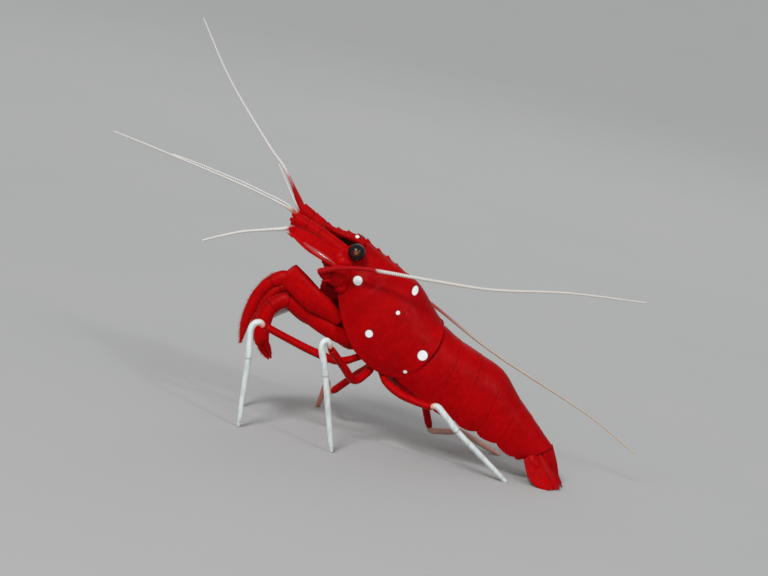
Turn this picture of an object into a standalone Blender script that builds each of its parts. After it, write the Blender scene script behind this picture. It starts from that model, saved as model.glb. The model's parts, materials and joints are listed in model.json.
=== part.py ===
"""Fire shrimp, a red cleaner shrimp, at life size in a standing pose.

The head points along -X, the animal's left side is towards -Y and +Z is up.
Everything is first placed about the animal's middle plane with the floor at
z = 0, and is moved at the end so that the origin lies under the middle of the
whole animal. Lengths are in millimetres, and MM makes them metres in a mesh.
"""

import math

import bmesh
import bpy
from mathutils import Matrix, Vector

MM = 0.001

# Body shells: each station is a back-ridge point, a lower-edge point and a half width.
CARAPACE_STATIONS = [
    ((-3.4, 25.3), (-5.7, 19.1), 2.7),
    ((-0.2, 23.8), (-4.3, 15.5), 3.6),
    ((3.9, 21.7), (-1.9, 12.1), 4.3),
    ((6.3, 19.3), (1.6, 10.1), 4.4),
    ((7.7, 17.7), (5.2, 9.9), 4.1),
]
PLEON_STATIONS = [
    ((8.3, 17.1), (6.2, 8.3), 3.9),
    ((10.7, 15.7), (8.6, 7.0), 3.9),
    ((13.6, 14.5), (12.0, 5.7), 3.7),
    ((16.9, 13.0), (15.0, 4.8), 3.3),
    ((19.5, 10.2), (17.8, 3.9), 2.9),
    ((21.7, 8.1), (20.4, 2.7), 2.5),
    ((25.0, 4.9), (21.9, 2.8), 1.7),
]
HEAD_STATIONS = [
    ((-6.0, 23.2), (-6.9, 20.4), 0.9),
    ((-5.2, 23.9), (-6.6, 19.3), 1.5),
    ((-4.3, 24.2), (-6.2, 19.2), 1.7),
]
SHELL_SWEEP = math.radians(125)  # how far the shell wraps round from the ridge
OUTER_TURN = 2 / 3  # part of the half section that is outer face
SKIRT = 0.6  # thickness of the shell's free lower edge
CARAPACE_HOLLOW = 0.17  # part of the depth that the underside is raised by
PLEON_HOLLOW = 0.26
CARAPACE_BULGE = 0.42  # how far the hind margin bows back, in stations
BULGE_STATION = 3.2  # length of one station behind the last one
PLEURON_LOBE = 0.03  # rounding of each tail segment's lower edge, part of its depth
PLEON_BOW = 0.2  # how far the segments' margins bow back at mid height, in stations
SEGMENT_GAP = 0.14  # part of a station left free between two segments
FIRST_REACH = 0.45  # how far the first segment's lower front corner reaches forward, in stations

# Rostrum and crest
ROSTRUM_TIP = Vector((-9.4, 26.4))
ROSTRUM_NOTCH = Vector((-4.2, 24.85))
CREST_END = Vector((2.6, 21.7))
CREST_TEETH = 8
TOOTH_HEIGHT = 0.32
ROSTRUM_HALF = (0.3, 0.6)  # half thickness at the tip and over the eyes

# Eyes
EYE_CENTRE = Vector((-4.24, -3.6, 24.25))
EYE_RADIUS = 1.15
EYE_SIDES = {"L": (1, (0, 0, 0)), "R": (-1, (-0.2, 0, 0.5))}  # mirror sign and swing
EYE_FLAT = 0.72  # from the centre to the flat that faces the stalk
TOUCH_GAP = 0.3  # left free between two pieces that meet
STALK_START = Vector((-4.95, -1.3, 24.1))
STALK_BEND = Vector((-0.25, 0.75, -0.02))  # from the end back to the bend, on the left
STALK_HALF = (0.55, 0.66, 0.72)

# Feelers
ANTENNA_THICK = 0.36  # radius at the root of the two long feelers
ANTENNULE_THICK = 0.3  # radius at the root of the four shorter ones
FEELER_TIP = 0.25
FEELER_GAP = 0.004  # left free between two lengths, part of the whole feeler
FEELER_RINGS = 12
ANTENNULE_BASE = Vector((-6.35, -1.15, 23.55))
ANTENNULE_HALF = (0.75, 0.74, 0.72, 0.7)
ANTENNULE_TIPS = {"L": Vector((-12.8, -1.9, 26.5)), "R": Vector((-12.3, 1.6, 27.3))}
FLAGELLA = {
    "antennule_L_outer": [
        (-13.2, -2.0, 27.35), (-19.7, -3.2, 29.3), (-29.3, -5.0, 31.4), (-36.4, -6.0, 32.8),
    ],
    "antennule_R_outer": [
        (-12.75, 1.9, 27.95), (-14.6, 2.2, 30.7), (-18.0, 3.0, 34.1), (-24.4, 4.5, 40.8),
        (-29.4, 5.5, 47.6),
    ],
    "antennule_L_inner": [
        (-13.3, -2.3, 25.9), (-14.9, -2.7, 24.9), (-18.5, -3.4, 23.8), (-23.2, -4.0, 21.6),
    ],
    "antennule_R_inner": [(-12.9, 2.3, 26.8), (-13.6, 6.0, 27.6), (-14.0, 10.5, 27.9)],
    "antenna_L": [
        (-8.45, -4.9, 21.1), (-5.6, -5.5, 22.3), (-1.3, -6.0, 23.0), (6.5, -7.5, 23.55),
        (13.2, -8.5, 24.2), (22.2, -9.0, 25.9), (31.6, -9.0, 26.8),
    ],
    "antenna_R": [
        (-8.9, 4.85, 21.2), (-8.2, 5.2, 21.8), (-1.3, 6.1, 21.4), (6.2, 6.2, 18.3),
        (15.4, 7.4, 13.6), (28.8, 8.0, 8.3), (36.1, 8.0, 4.5),
    ],
}

# Limbs on the left side, from the body to the tip
MAXILLIPED = [
    (-4.5, -1.65, 14.95), (-8.25, -3.0, 17.15), (-11.4, -3.05, 19.2), (-13.5, -2.9, 18.45),
    (-15.1, -2.75, 16.2), (-15.85, -2.7, 13.6), (-16.05, -2.7, 11.4), (-16.05, -2.7, 9.7),
]
MAXILLIPED_DEEP = (0.85, 1.38, 1.3, 0.86, 0.74, 0.6, 0.42, 0.25)  # half breadth from the side
MAXILLIPED_HALF = (0.55, 0.6, 0.62, 0.62, 0.58, 0.5, 0.4, 0.25)  # half breadth from the front
CLAW_LEG = [
    (-2.7, -1.1, 12.5), (-5.7, -1.5, 13.75), (-8.6, -1.7, 15.1), (-11.3, -1.85, 16.2),
    (-13.2, -1.95, 14.9), (-13.8, -2.05, 12.7), (-13.4, -2.1, 10.3), (-12.2, -2.1, 8.7),
]
CLAW_LEG_HALF = (0.6, 0.8, 0.84, 0.84, 0.86, 0.86, 0.66, 0.28)
FOLDED_LEG = [
    (-2.4, -0.6, 13.6), (-5.1, -0.55, 15.2), (-8.0, -0.55, 16.75), (-10.6, -0.55, 18.0),
    (-10.9, -0.55, 17.3), (-8.4, -0.55, 15.95), (-5.4, -0.55, 14.3),
]
FOLDED_LEG_HALF = (0.32, 0.3, 0.28, 0.27, 0.27, 0.27, 0.25)
RIGHT_DRAWN_IN = (0.8, -0.2)  # how much lower and further back the right side's limbs are
LIMB_RINGS = 14
WALKING_LEGS = {
    "leg3_L": ([(-0.9, -1.9, 11.3), (-3.5, -3.3, 10.35), (-6.7, -4.4, 11.0), (-9.9, -5.2, 12.0),
                (-12.95, -5.85, 13.05)],
               [(-14.2, -6.1, 13.6), (-14.95, -6.25, 12.4), (-14.47, -6.3, 8.74),
                (-13.9, -6.0, -0.4)]),
    "leg4_L": ([(0.9, -1.9, 10.7), (0.1, -2.9, 9.4), (-1.2, -4.7, 8.7), (-2.9, -6.8, 10.6),
                (-4.6, -8.8, 12.6)],
               [(-5.25, -9.5, 13.7), (-5.8, -9.85, 12.9), (-4.63, -9.7, 9.34),
                (-1.82, -8.6, -0.4)]),
    "leg5_L": ([(1.7, -1.9, 10.3), (2.9, -3.4, 9.0), (4.8, -4.6, 8.2), (6.8, -5.5, 7.9),
                (8.6, -6.2, 7.8)],
               [(9.4, -6.45, 8.05), (10.2, -6.5, 7.7), (12.75, -6.0, 5.4), (20.7, -3.9, -0.4)]),
    "leg3_R": ([(-1.3, 1.9, 11.9), (-2.3, 2.7, 11.2), (-10.2, 4.1, 14.6)],
               [(-10.95, 4.3, 14.2), (-14.4, 5.1, 11.6), (-15.3, 5.4, 7.1),
                (-14.5, 5.5, -0.4)]),
    "leg4_R": ([(0.6, 1.9, 10.9), (0.3, 2.9, 9.2), (-1.1, 4.2, 7.5), (-3.4, 6.4, 4.5)],
               [(-3.8, 7.1, 4.1), (-4.1, 7.9, 4.2), (-4.6, 10.9, 4.4), (-5.2, 15.7, -0.4)]),
    "leg5_R": ([(2.5, 1.9, 10.4), (3.6, 2.9, 8.9), (7.2, 4.3, 7.5), (9.4, 5.9, 2.9)],
               [(9.8, 6.3, 2.1), (10.6, 6.7, 2.1), (13.7, 8.3, 2.4), (20.5, 10.6, -0.4)]),
}
THIGH_HALF = (0.5, 0.58, 0.52)
SHIN_HALF = (0.42, 0.45, 0.43, 0.4, 0.38, 0.28)

# Swimmerets: stations back from the segment's end, depth and share of the half width
PADDLE_ENDS = ((0.35, 0.83, 0.36), (0.85, 0.97, 0.38))  # at the root and at the tip
PADDLE_HALF = (0.12, 0.19, 0.1)  # breadths, as parts of the segment's half width

# Tail fan
TELSON = [(24.75, 0, 4.15), (25.3, 0, 2.75), (25.95, 0, 1.3), (27.2, 0, 0.25)]
TELSON_HALF = (1.1, 1.1, 0.9, 0.45)
PROTOPOD = [(22.75, -1.2, 3.05), (23.1, -1.6, 2.6), (23.6, -1.9, 2.0)]
PROTOPOD_HALF = (0.6, 0.7, 0.6)
ENDOPOD = [(23.6, -1.5, 3.0), (24.4, -1.8, 1.95), (25.3, -2.1, 0.95), (26.9, -2.3, 0.24)]
ENDOPOD_HALF = (0.7, 1.0, 0.95, 0.4)
EXOPOD = [(22.8, -1.9, 2.75), (23.5, -2.4, 1.8), (24.4, -2.8, 0.9), (26.0, -3.2, 0.24)]
EXOPOD_HALF = (0.8, 1.15, 1.1, 0.45)
FAN_ROOF = Vector((0.8, 0.38, 0.46))  # direction of the blades' breadth, on the left
TELSON_THICK = (0.6, 0.55, 0.42, 0.26)
BLADE_HALF = 0.28  # half thickness of the fan, the fins and the scales

SCALE = [(-6.3, -3.3, 22.6), (-9.6, -3.65, 23.95), (-13.1, -3.8, 25.5)]
SCALE_HALF = (0.75, 1.35, 0.5)
SCALE_TILT = (0.0, 0.77, 0.64)
ANTENNA_BASE = [(-6.0, -3.2, 20.95), (-7.1, -3.6, 20.95), (-8.45, -4.1, 21.0)]
ANTENNA_BASE_HALF = (0.95, 0.85, 0.5)  # half breadth from the front
ANTENNA_BASE_DEEP = (1.3, 1.0, 0.5)  # half breadth from the side

RED = (0.42, 0.004, 0.006, 1)
DARK_RED = (0.26, 0.004, 0.006, 1)
WHITE = (0.78, 0.80, 0.78, 1)
BLACK = (0.006, 0.005, 0.005, 1)


def clear_scene():
    """Empties the scene of whatever it starts with."""
    for old in list(bpy.data.objects):
        bpy.data.objects.remove(old, do_unlink=True)


def along(points, t):
    """Point at t, from 0 to 1, on a smooth curve through evenly spaced points."""
    points = [Vector(p) for p in points]
    spans = len(points) - 1
    index = min(int(t * spans), spans - 1)
    f = t * spans - index
    p1, p2 = points[index], points[index + 1]
    p0 = points[index - 1] if index else p1 * 2 - p2
    p3 = points[index + 2] if index + 2 <= spans else p2 * 2 - p1
    return 0.5 * (
        2 * p1 + (p2 - p0) * f + (2 * p0 - 5 * p1 + 4 * p2 - p3) * f**2
        + (3 * p1 - p0 - 3 * p2 + p3) * f**3
    )


def value_along(values, t):
    """Value at t, from 0 to 1, on a smooth curve through evenly spaced values."""
    return along([(v, 0) for v in values], t)[0]


def mirrored(points):
    """The same points on the other side of the animal."""
    return [(x, -y, z) for x, y, z in points]


def drawn_in(points):
    """The right side's limb, held a little lower and further back than the left one."""
    lower, back = RIGHT_DRAWN_IN
    return [(x + back * (k > 1), y, z - lower * (k > 1))
            for k, (x, y, z) in enumerate(mirrored(points))]


def rolled(name, around, rings, place, colour, roughness=0.35):
    """A grid rolled into a closed tube, with place(turn, t) giving each point."""
    bm = bmesh.new()
    bmesh.ops.create_grid(bm, x_segments=around, y_segments=rings, size=1)
    for vert in bm.verts:
        vert.co = place((vert.co.x + 1) / 2, (vert.co.y + 1) / 2) * MM
    bmesh.ops.remove_doubles(bm, verts=bm.verts, dist=1e-7)
    bmesh.ops.holes_fill(bm, edges=bm.edges, sides=0)
    bmesh.ops.recalc_face_normals(bm, faces=bm.faces)
    return finished(name, bm, colour, roughness)


def finished(name, bm, colour, roughness=0.35):
    """Object of that name from the mesh, shaded smooth, in a material of its own."""
    mesh = bpy.data.meshes.new(name)
    bm.to_mesh(mesh)
    bm.free()
    mesh.shade_smooth()
    mesh.set_sharp_from_angle(angle=math.radians(50))
    obj = bpy.data.objects.new(name, mesh)
    bpy.context.scene.collection.objects.link(obj)
    material = bpy.data.materials.new(name)
    material.use_nodes = True
    shader = material.node_tree.nodes["Principled BSDF"]
    shader.inputs["Base Color"].default_value = colour
    shader.inputs["Roughness"].default_value = roughness
    mesh.materials.append(material)
    return obj


def limb(name, points, broad, colour, thin=None, across=(0, 1, 0), sides=8, rings=8):
    """A limb or blade of oval section, whose breadth runs along the direction `across`."""
    thin = thin or broad

    def place(turn, t):
        here = along(points, t)
        heading = (along(points, min(t + 0.02, 1)) - along(points, max(t - 0.02, 0))).normalized()
        side = Vector(across) - heading * heading.dot(Vector(across))
        side.normalize()
        normal = heading.cross(side)
        angle = math.tau * turn
        return (here + side * math.cos(angle) * value_along(broad, t)
                + normal * math.sin(angle) * value_along(thin, t))

    return rolled(name, sides, rings, place, colour)


def cut_at_floor(obj):
    """Cuts away what lies under the floor and leaves a small flat there."""
    bm = bmesh.new()
    bm.from_mesh(obj.data)
    bmesh.ops.bisect_plane(bm, geom=bm.verts[:] + bm.edges[:] + bm.faces[:], dist=1e-7,
                           plane_co=(0, 0, 0), plane_no=(0, 0, -1), clear_outer=True)
    bmesh.ops.holes_fill(bm, edges=bm.edges, sides=0)
    bmesh.ops.recalc_face_normals(bm, faces=bm.faces)
    bm.to_mesh(obj.data)
    bm.free()


def joined(base, others):
    """Boolean union of base with hidden helper objects."""
    for other in others:
        other.hide_render = True
        other.display_type = "WIRE"
        union = base.modifiers.new("Join " + other.name, "BOOLEAN")
        union.operation = "UNION"
        union.object = other
    return base


def station(stations, s):
    """Ridge point, lower-edge point and half width at s, counted in stations."""
    t = s / (len(stations) - 1)
    ridge = along([d for d, _, _ in stations], t)
    edge = along([v for _, v, _ in stations], t)
    return ridge, edge, value_along([w for _, _, w in stations], t)


def shell_point(stations, s, turn, hollow, lobe=0.0):
    """Point on a shell that wraps round the body and is open below, turn 0 to 1 all round."""
    ridge, edge, half = station(stations, s)
    q = 2 * turn if turn <= 0.5 else 2 * (1 - turn)
    side = 1 if turn <= 0.5 else -1
    lip = half * math.sin(SHELL_SWEEP)
    if q <= OUTER_TURN + 0.001:
        sweep = SHELL_SWEEP * q / OUTER_TURN
        drop = (1 - math.cos(sweep)) / (1 - math.cos(SHELL_SWEEP)) * (1 - lobe * q**4)
        out = half * math.sin(sweep)
    elif q < 0.8:
        drop, out = 1 - lobe - 0.01, lip - SKIRT
    else:
        drop = 1 - hollow * (0.8 + 0.2 * q)
        out = (lip - SKIRT - 0.15) * math.sqrt((1 - q) * 6)
    point = ridge + (edge - ridge) * drop
    return Vector((point[0], side * out, point[1]))


def shell_height(turn):
    """0 at the ridge, 1 at the lower edge, on the outer face or the inner one."""
    q = 2 * turn if turn <= 0.5 else 2 * (1 - turn)
    return min(q / OUTER_TURN, 1)


def make_carapace():
    """Carapace with its bowed hind margin, and the crest and rostrum in one piece with it."""
    last = len(CARAPACE_STATIONS) - 1

    def place(turn, t):
        back = last + CARAPACE_BULGE * math.sin(math.pi * min(1, shell_height(turn) * 1.05))
        s = min(t * back, last)
        point = shell_point(CARAPACE_STATIONS, s, turn, CARAPACE_HOLLOW)
        extra = t * back - s
        if extra > 0:
            ridge, edge, _ = station(CARAPACE_STATIONS, last)
            before, edge_before, _ = station(CARAPACE_STATIONS, last - 0.5)
            heading = ((ridge - before) + (edge - edge_before)).normalized()
            point += Vector((heading[0], 0, heading[1])) * extra * BULGE_STATION
        return point

    carapace = rolled("carapace", 24, 12, place, RED)
    return joined(carapace, [make_crest()])


def make_crest():
    """Rostrum and toothed crest: a blade with saw teeth along its upper edge."""
    top = [ROSTRUM_TIP]
    ridge = [ROSTRUM_TIP, Vector((-4.1, 25.55)), station(CARAPACE_STATIONS, 0.9)[0], CREST_END]
    for k in range(CREST_TEETH):
        start, end = k / CREST_TEETH + 0.06, (k + 1) / CREST_TEETH
        root = along(ridge, start)
        heel = along(ridge, min(end + 0.01, 1))
        peak = along(ridge, start) + Vector((-0.1, TOOTH_HEIGHT))
        top += [root, peak, heel - Vector((0, 0.05))]
    under = [CREST_END - Vector((0.6, 1.4)), Vector((-2.6, 23.2)), ROSTRUM_NOTCH,
             Vector((-7.0, 25.25))]
    bm = bmesh.new()
    verts = [bm.verts.new(Vector((p[0], 0, p[1])) * MM) for p in top + under]
    face = bm.faces.new(verts)
    grown = bmesh.ops.extrude_face_region(bm, geom=[face])
    moved = [item for item in grown["geom"] if isinstance(item, bmesh.types.BMVert)]

    def half(vert):
        reach = (vert.co.x / MM - ROSTRUM_TIP[0]) / (ROSTRUM_NOTCH[0] - ROSTRUM_TIP[0])
        tip, root = ROSTRUM_HALF
        toothed = 0.5 if vert.co.z / MM > 25.6 - max(0, vert.co.x / MM + 4) * 0.45 else 1
        return (tip + (root - tip) * max(0, min(1, reach))) * toothed

    for vert in bm.verts:
        vert.co.y = (1 if vert in moved else -1) * half(vert) * MM
    bmesh.ops.recalc_face_normals(bm, faces=bm.faces)
    bmesh.ops.triangulate(bm, faces=bm.faces)
    return finished("crest", bm, RED)


def make_head():
    """Small block of the head between the eyes, under the rostrum."""
    last = len(HEAD_STATIONS) - 1

    def place(turn, t):
        ridge, edge, half = station(HEAD_STATIONS, t * last)
        angle = math.tau * turn
        point = ridge + (edge - ridge) * (0.5 - 0.5 * math.cos(angle))
        return Vector((point[0], half * math.sin(angle), point[1]))

    rolled("head", 10, 4, place, DARK_RED)


def make_pleon():
    """Six tail segments, each a shell section with rounded side lobes."""
    last = len(PLEON_STATIONS) - 1
    for number in range(6):
        def place(turn, t, number=number):
            s = number + SEGMENT_GAP * 0.5 + t * (1 - SEGMENT_GAP)
            low = shell_height(turn)
            bow = PLEON_BOW * math.sin(math.pi * low) * (1 - s / last)
            if number == 0:
                bow -= FIRST_REACH * max(0, (low - 0.6) / 0.4) ** 2 * (1 - t)
            lobe = PLEURON_LOBE * (2 * t - 1) ** 2
            return shell_point(PLEON_STATIONS, s + bow, turn, PLEON_HOLLOW, lobe)

        rolled(f"pleon_{number + 1}", 24, 3, place, RED)


def make_eyes():
    """Round eyes, each cut flat towards its stalk, and the stalks."""
    for side, (sign, swing) in EYE_SIDES.items():
        centre = Vector((EYE_CENTRE[0], EYE_CENTRE[1] * sign, EYE_CENTRE[2])) + Vector(swing)
        bm = bmesh.new()
        bmesh.ops.create_uvsphere(bm, u_segments=16, v_segments=10, radius=EYE_RADIUS * MM,
                                  matrix=Matrix.Translation(centre * MM)
                                  @ Matrix.Rotation(math.pi / 2, 4, "X"))
        flat = (centre + Vector((0, EYE_FLAT * sign, 0))) * MM
        bmesh.ops.bisect_plane(bm, geom=bm.verts[:] + bm.edges[:] + bm.faces[:], dist=1e-7,
                               plane_co=flat, plane_no=(0, sign, 0), clear_outer=True)
        bmesh.ops.holes_fill(bm, edges=bm.edges, sides=0)
        bmesh.ops.recalc_face_normals(bm, faces=bm.faces)
        finished(f"eye_{side}", bm, BLACK, 0.08)
        start = Vector((STALK_START[0], STALK_START[1] * sign, STALK_START[2]))
        end = centre + Vector((0, (EYE_FLAT + TOUCH_GAP) * sign, 0))
        bend = end + Vector((STALK_BEND[0], STALK_BEND[1] * sign, STALK_BEND[2]))
        limb(f"eyestalk_{side}", [start, bend, end], STALK_HALF, RED, across=(1, 0, 0), rings=4)


def make_feelers():
    """Stems of the two pairs of feelers, the scales beside them and their long whips."""
    for side, sign in (("L", 1), ("R", -1)):
        base = Vector((ANTENNULE_BASE[0], ANTENNULE_BASE[1] * sign, ANTENNULE_BASE[2]))
        limb(f"antennule_{side}", [base, ANTENNULE_TIPS[side]], ANTENNULE_HALF, RED, rings=6)
        flip = list if side == "L" else mirrored
        limb(f"antenna_base_{side}", flip(ANTENNA_BASE), ANTENNA_BASE_HALF, RED,
             thin=ANTENNA_BASE_DEEP, rings=5)
        tilt = (SCALE_TILT[0], SCALE_TILT[1] * sign, SCALE_TILT[2])
        limb(f"antenna_scale_{side}", flip(SCALE), SCALE_HALF, RED, thin=(BLADE_HALF,) * 2,
             across=tilt)
    for name, route in FLAGELLA.items():
        lengths = 1 if "inner" in name else 2
        thick = ANTENNA_THICK if name.startswith("antenna_") else ANTENNULE_THICK
        for part in range(lengths):
            make_feeler_length(name, route, part, lengths, thick)


def make_feeler_length(name, route, part, lengths, thick):
    """One length of a feeler, with a small gap to the next."""
    start = part / lengths + (FEELER_GAP if part else 0)
    end = (part + 1) / lengths - (FEELER_GAP if part + 1 < lengths else 0)
    stretch = [along(route, start + (end - start) * k / 9) for k in range(10)]
    radii = [thick + (FEELER_TIP - thick) * (start + (end - start) * k) for k in (0, 1)]
    suffix = f"_{'abc'[part]}" if lengths > 1 else ""
    across = (1, 0, 0) if name == "antennule_R_inner" else (0, 1, 0)
    limb(f"{name}{suffix}_feeler", stretch, radii, WHITE, across=across, sides=6,
         rings=FEELER_RINGS)


def make_front_limbs():
    """The last mouth limb, the clawed first leg and the folded second leg of each side."""
    for side in "LR":
        place = list if side == "L" else drawn_in
        limb(f"maxilliped_{side}", place(MAXILLIPED), MAXILLIPED_HALF, RED,
             thin=MAXILLIPED_DEEP, rings=LIMB_RINGS)
        limb(f"leg1_{side}", place(CLAW_LEG), CLAW_LEG_HALF, RED, rings=LIMB_RINGS)
        limb(f"leg2_{side}", place(FOLDED_LEG), FOLDED_LEG_HALF, RED, sides=6,
             rings=LIMB_RINGS)


def make_walking_legs():
    """Three walking legs on each side, in an upper and a lower length, flat at the foot."""
    for name, (thigh, shin) in WALKING_LEGS.items():
        limb(f"{name}_upper", thigh, THIGH_HALF, RED, rings=8)
        foot = limb(f"{name}_lower", shin, SHIN_HALF, WHITE, rings=10)
        cut_at_floor(foot)


def make_swimmerets():
    """Five pairs of small paddles, folded forward in the hollow under the tail."""
    (root_back, root_deep, root_out), (tip_back, tip_deep, tip_out) = PADDLE_ENDS
    for number in range(1, 6):
        ridge, edge, half = station(PLEON_STATIONS, number - root_back)
        ahead, edge_ahead, _ = station(PLEON_STATIONS, number - tip_back)
        root = ridge + (edge - ridge) * root_deep
        tip = ahead + (edge_ahead - ahead) * tip_deep
        breadths = [part * half for part in PADDLE_HALF]
        for side, sign in (("L", -1), ("R", 1)):
            points = [(root[0], sign * root_out * half, root[1]),
                      (tip[0], sign * tip_out * half, tip[1])]
            limb(f"swimmeret_{number}_{side}", points, breadths, DARK_RED,
                 thin=(BLADE_HALF,) * 2, sides=6, rings=4)


def make_tail_fan():
    """Telson in the middle and a uropod of two blades on each side, flat on the floor behind."""
    telson = limb("telson", TELSON, TELSON_HALF, RED, thin=TELSON_THICK, rings=7)
    cut_at_floor(telson)
    for side in "LR":
        flip = list if side == "L" else mirrored
        sign = 1 if side == "L" else -1
        roof = (FAN_ROOF[0], FAN_ROOF[1] * sign, FAN_ROOF[2])
        stem = limb(f"uropod_{side}", flip(PROTOPOD), PROTOPOD_HALF, RED, rings=3)
        blades = [
            limb(f"endopod_{side}", flip(ENDOPOD), ENDOPOD_HALF, RED, thin=(BLADE_HALF,) * 2,
                 across=roof, rings=7),
            limb(f"exopod_{side}", flip(EXOPOD), EXOPOD_HALF, RED, thin=(BLADE_HALF,) * 2,
                 across=roof, rings=7),
        ]
        for blade in blades:
            cut_at_floor(blade)
        joined(stem, blades)


def stand_on_origin():
    """Moves the animal so that the origin is under the middle of its whole extent."""
    bpy.context.view_layer.update()
    corners = [vert.co for obj in bpy.data.objects if not obj.hide_render
               for vert in obj.data.vertices]
    low = Vector([min(c[k] for c in corners) for k in range(3)])
    high = Vector([max(c[k] for c in corners) for k in range(3)])
    shift = Vector((-(low[0] + high[0]) / 2, -(low[1] + high[1]) / 2, 0))
    for mesh in bpy.data.meshes:
        mesh.transform(Matrix.Translation(shift))


def main():
    """Builds the animal from front to back and stands it on the origin."""
    clear_scene()
    make_carapace()
    make_head()
    make_pleon()
    make_eyes()
    make_feelers()
    make_front_limbs()
    make_walking_legs()
    make_swimmerets()
    make_tail_fan()
    stand_on_origin()


main()
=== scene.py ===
"""Looks of a fire shrimp, a red cleaner shrimp, at life size in a standing pose.

The animal is laid out in millimetres about its middle plane: the head points along
-X, its left side is towards -Y, and the floor is z = 0. TO_ROW takes those lengths
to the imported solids' own frame, in metres, and is worked out from the left eye.
"""

import json
import logging
import math
from dataclasses import dataclass, replace
from enum import Enum
from functools import partial
from typing import Callable, Iterable, Sequence, TypeVar

import bmesh
import bpy
import numpy as np
from mathutils import Matrix, Vector, noise

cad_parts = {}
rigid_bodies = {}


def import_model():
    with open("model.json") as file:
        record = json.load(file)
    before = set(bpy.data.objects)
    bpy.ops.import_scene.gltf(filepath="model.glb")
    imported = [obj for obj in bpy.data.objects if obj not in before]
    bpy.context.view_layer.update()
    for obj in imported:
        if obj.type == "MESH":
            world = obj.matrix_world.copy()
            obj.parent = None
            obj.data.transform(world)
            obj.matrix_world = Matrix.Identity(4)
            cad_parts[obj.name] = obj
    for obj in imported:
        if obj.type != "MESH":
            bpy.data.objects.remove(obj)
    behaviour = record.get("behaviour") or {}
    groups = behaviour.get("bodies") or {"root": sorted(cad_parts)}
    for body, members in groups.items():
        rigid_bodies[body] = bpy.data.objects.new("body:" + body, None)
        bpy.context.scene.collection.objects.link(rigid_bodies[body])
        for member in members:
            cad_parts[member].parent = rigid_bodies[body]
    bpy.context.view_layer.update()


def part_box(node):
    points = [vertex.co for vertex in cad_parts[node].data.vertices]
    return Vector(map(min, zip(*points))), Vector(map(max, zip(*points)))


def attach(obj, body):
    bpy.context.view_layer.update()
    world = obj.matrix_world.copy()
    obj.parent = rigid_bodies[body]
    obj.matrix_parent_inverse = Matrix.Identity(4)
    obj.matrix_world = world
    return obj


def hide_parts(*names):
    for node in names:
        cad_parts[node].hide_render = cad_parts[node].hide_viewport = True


for leftover in list(bpy.data.objects):
    bpy.data.objects.remove(leftover, do_unlink=True)
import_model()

LOG = logging.getLogger("fire_shrimp")
BODY = "root"
MM = 0.001

Shape = bmesh.types.BMesh
Point = tuple[float, float, float]
Line = tuple[Point, ...]
Flat = tuple[float, float]
Sizes = tuple[float, ...]
Colour = tuple[float, float, float, float]
Socket = bpy.types.NodeSocket
Input = Socket | float | Sequence[float]
Value = TypeVar("Value", float, Vector)

EYE_CENTRE = Vector((-4.24, -3.6, 24.25))
EYE_RADIUS = 1.15
EYE_CORNER = EYE_CENTRE - Vector((EYE_RADIUS, EYE_RADIUS, EYE_RADIUS))
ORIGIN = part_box("eye_L")[0] - EYE_CORNER * MM
TO_ROW = Matrix.Translation(ORIGIN) @ Matrix.Scale(MM, 4)


class Side(Enum):
    """The animal's two sides. The value turns a left-hand offset into the side's own."""

    LEFT = 1
    RIGHT = -1

    @property
    def letter(self) -> str:
        """L or R, as the solids' names have it."""
        return self.name[0]

    def flip(self, points: Iterable[Point]) -> Line:
        """Left-hand points on this side."""
        return tuple((x, y * self.value, z) for x, y, z in points)

    def turn(self, point: Sequence[float]) -> Vector:
        """One left-hand point on this side."""
        return Vector((point[0], point[1] * self.value, point[2]))


class Slot(Enum):
    """Material slots of the record."""

    RED = "red_shell"
    DARK = "dark_shell"
    WHITE = "white_leg"
    EYE = "eye"
    FEELER = "feeler"


# ---------------------------------------------------------------- curves


def smooth(low: float, high: float, value: float) -> float:
    """Eased step of a value, from 0 at low to 1 at high."""
    share = max(0.0, min(1.0, (value - low) / (high - low)))
    return share * share * (3 - 2 * share)


def hump(value: float, centre: float, width: float) -> float:
    """Bell of height 1 about a centre, about as wide as width to each side."""
    return math.exp(-(((value - centre) / width) ** 2))


def eased(values: Sequence[Value], t: float) -> Value:
    """Value at t on a smooth curve through evenly spaced values.

    Args:
        values: Numbers or vectors.
        t: Place from 0 to 1; a little outside runs straight on.

    Returns:
        A number or a vector, as the values are.
    """
    spans = len(values) - 1
    index = max(0, min(int(t * spans), spans - 1))
    f = t * spans - index
    p1, p2 = values[index], values[index + 1]
    p0 = values[index - 1] if index else p1 * 2 - p2
    p3 = values[index + 2] if index + 2 <= spans else p2 * 2 - p1
    curve = (p2 - p0) * f + (p0 * 2 - p1 * 5 + p2 * 4 - p3) * f**2
    return p1 + (curve + (p1 * 3 - p0 - p2 * 3 + p3) * f**3) * 0.5


@dataclass(frozen=True)
class Ring:
    """A place on a route, with the two directions that a section lies in."""

    centre: Vector
    side: Vector
    normal: Vector
    heading: Vector
    share: float


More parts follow.
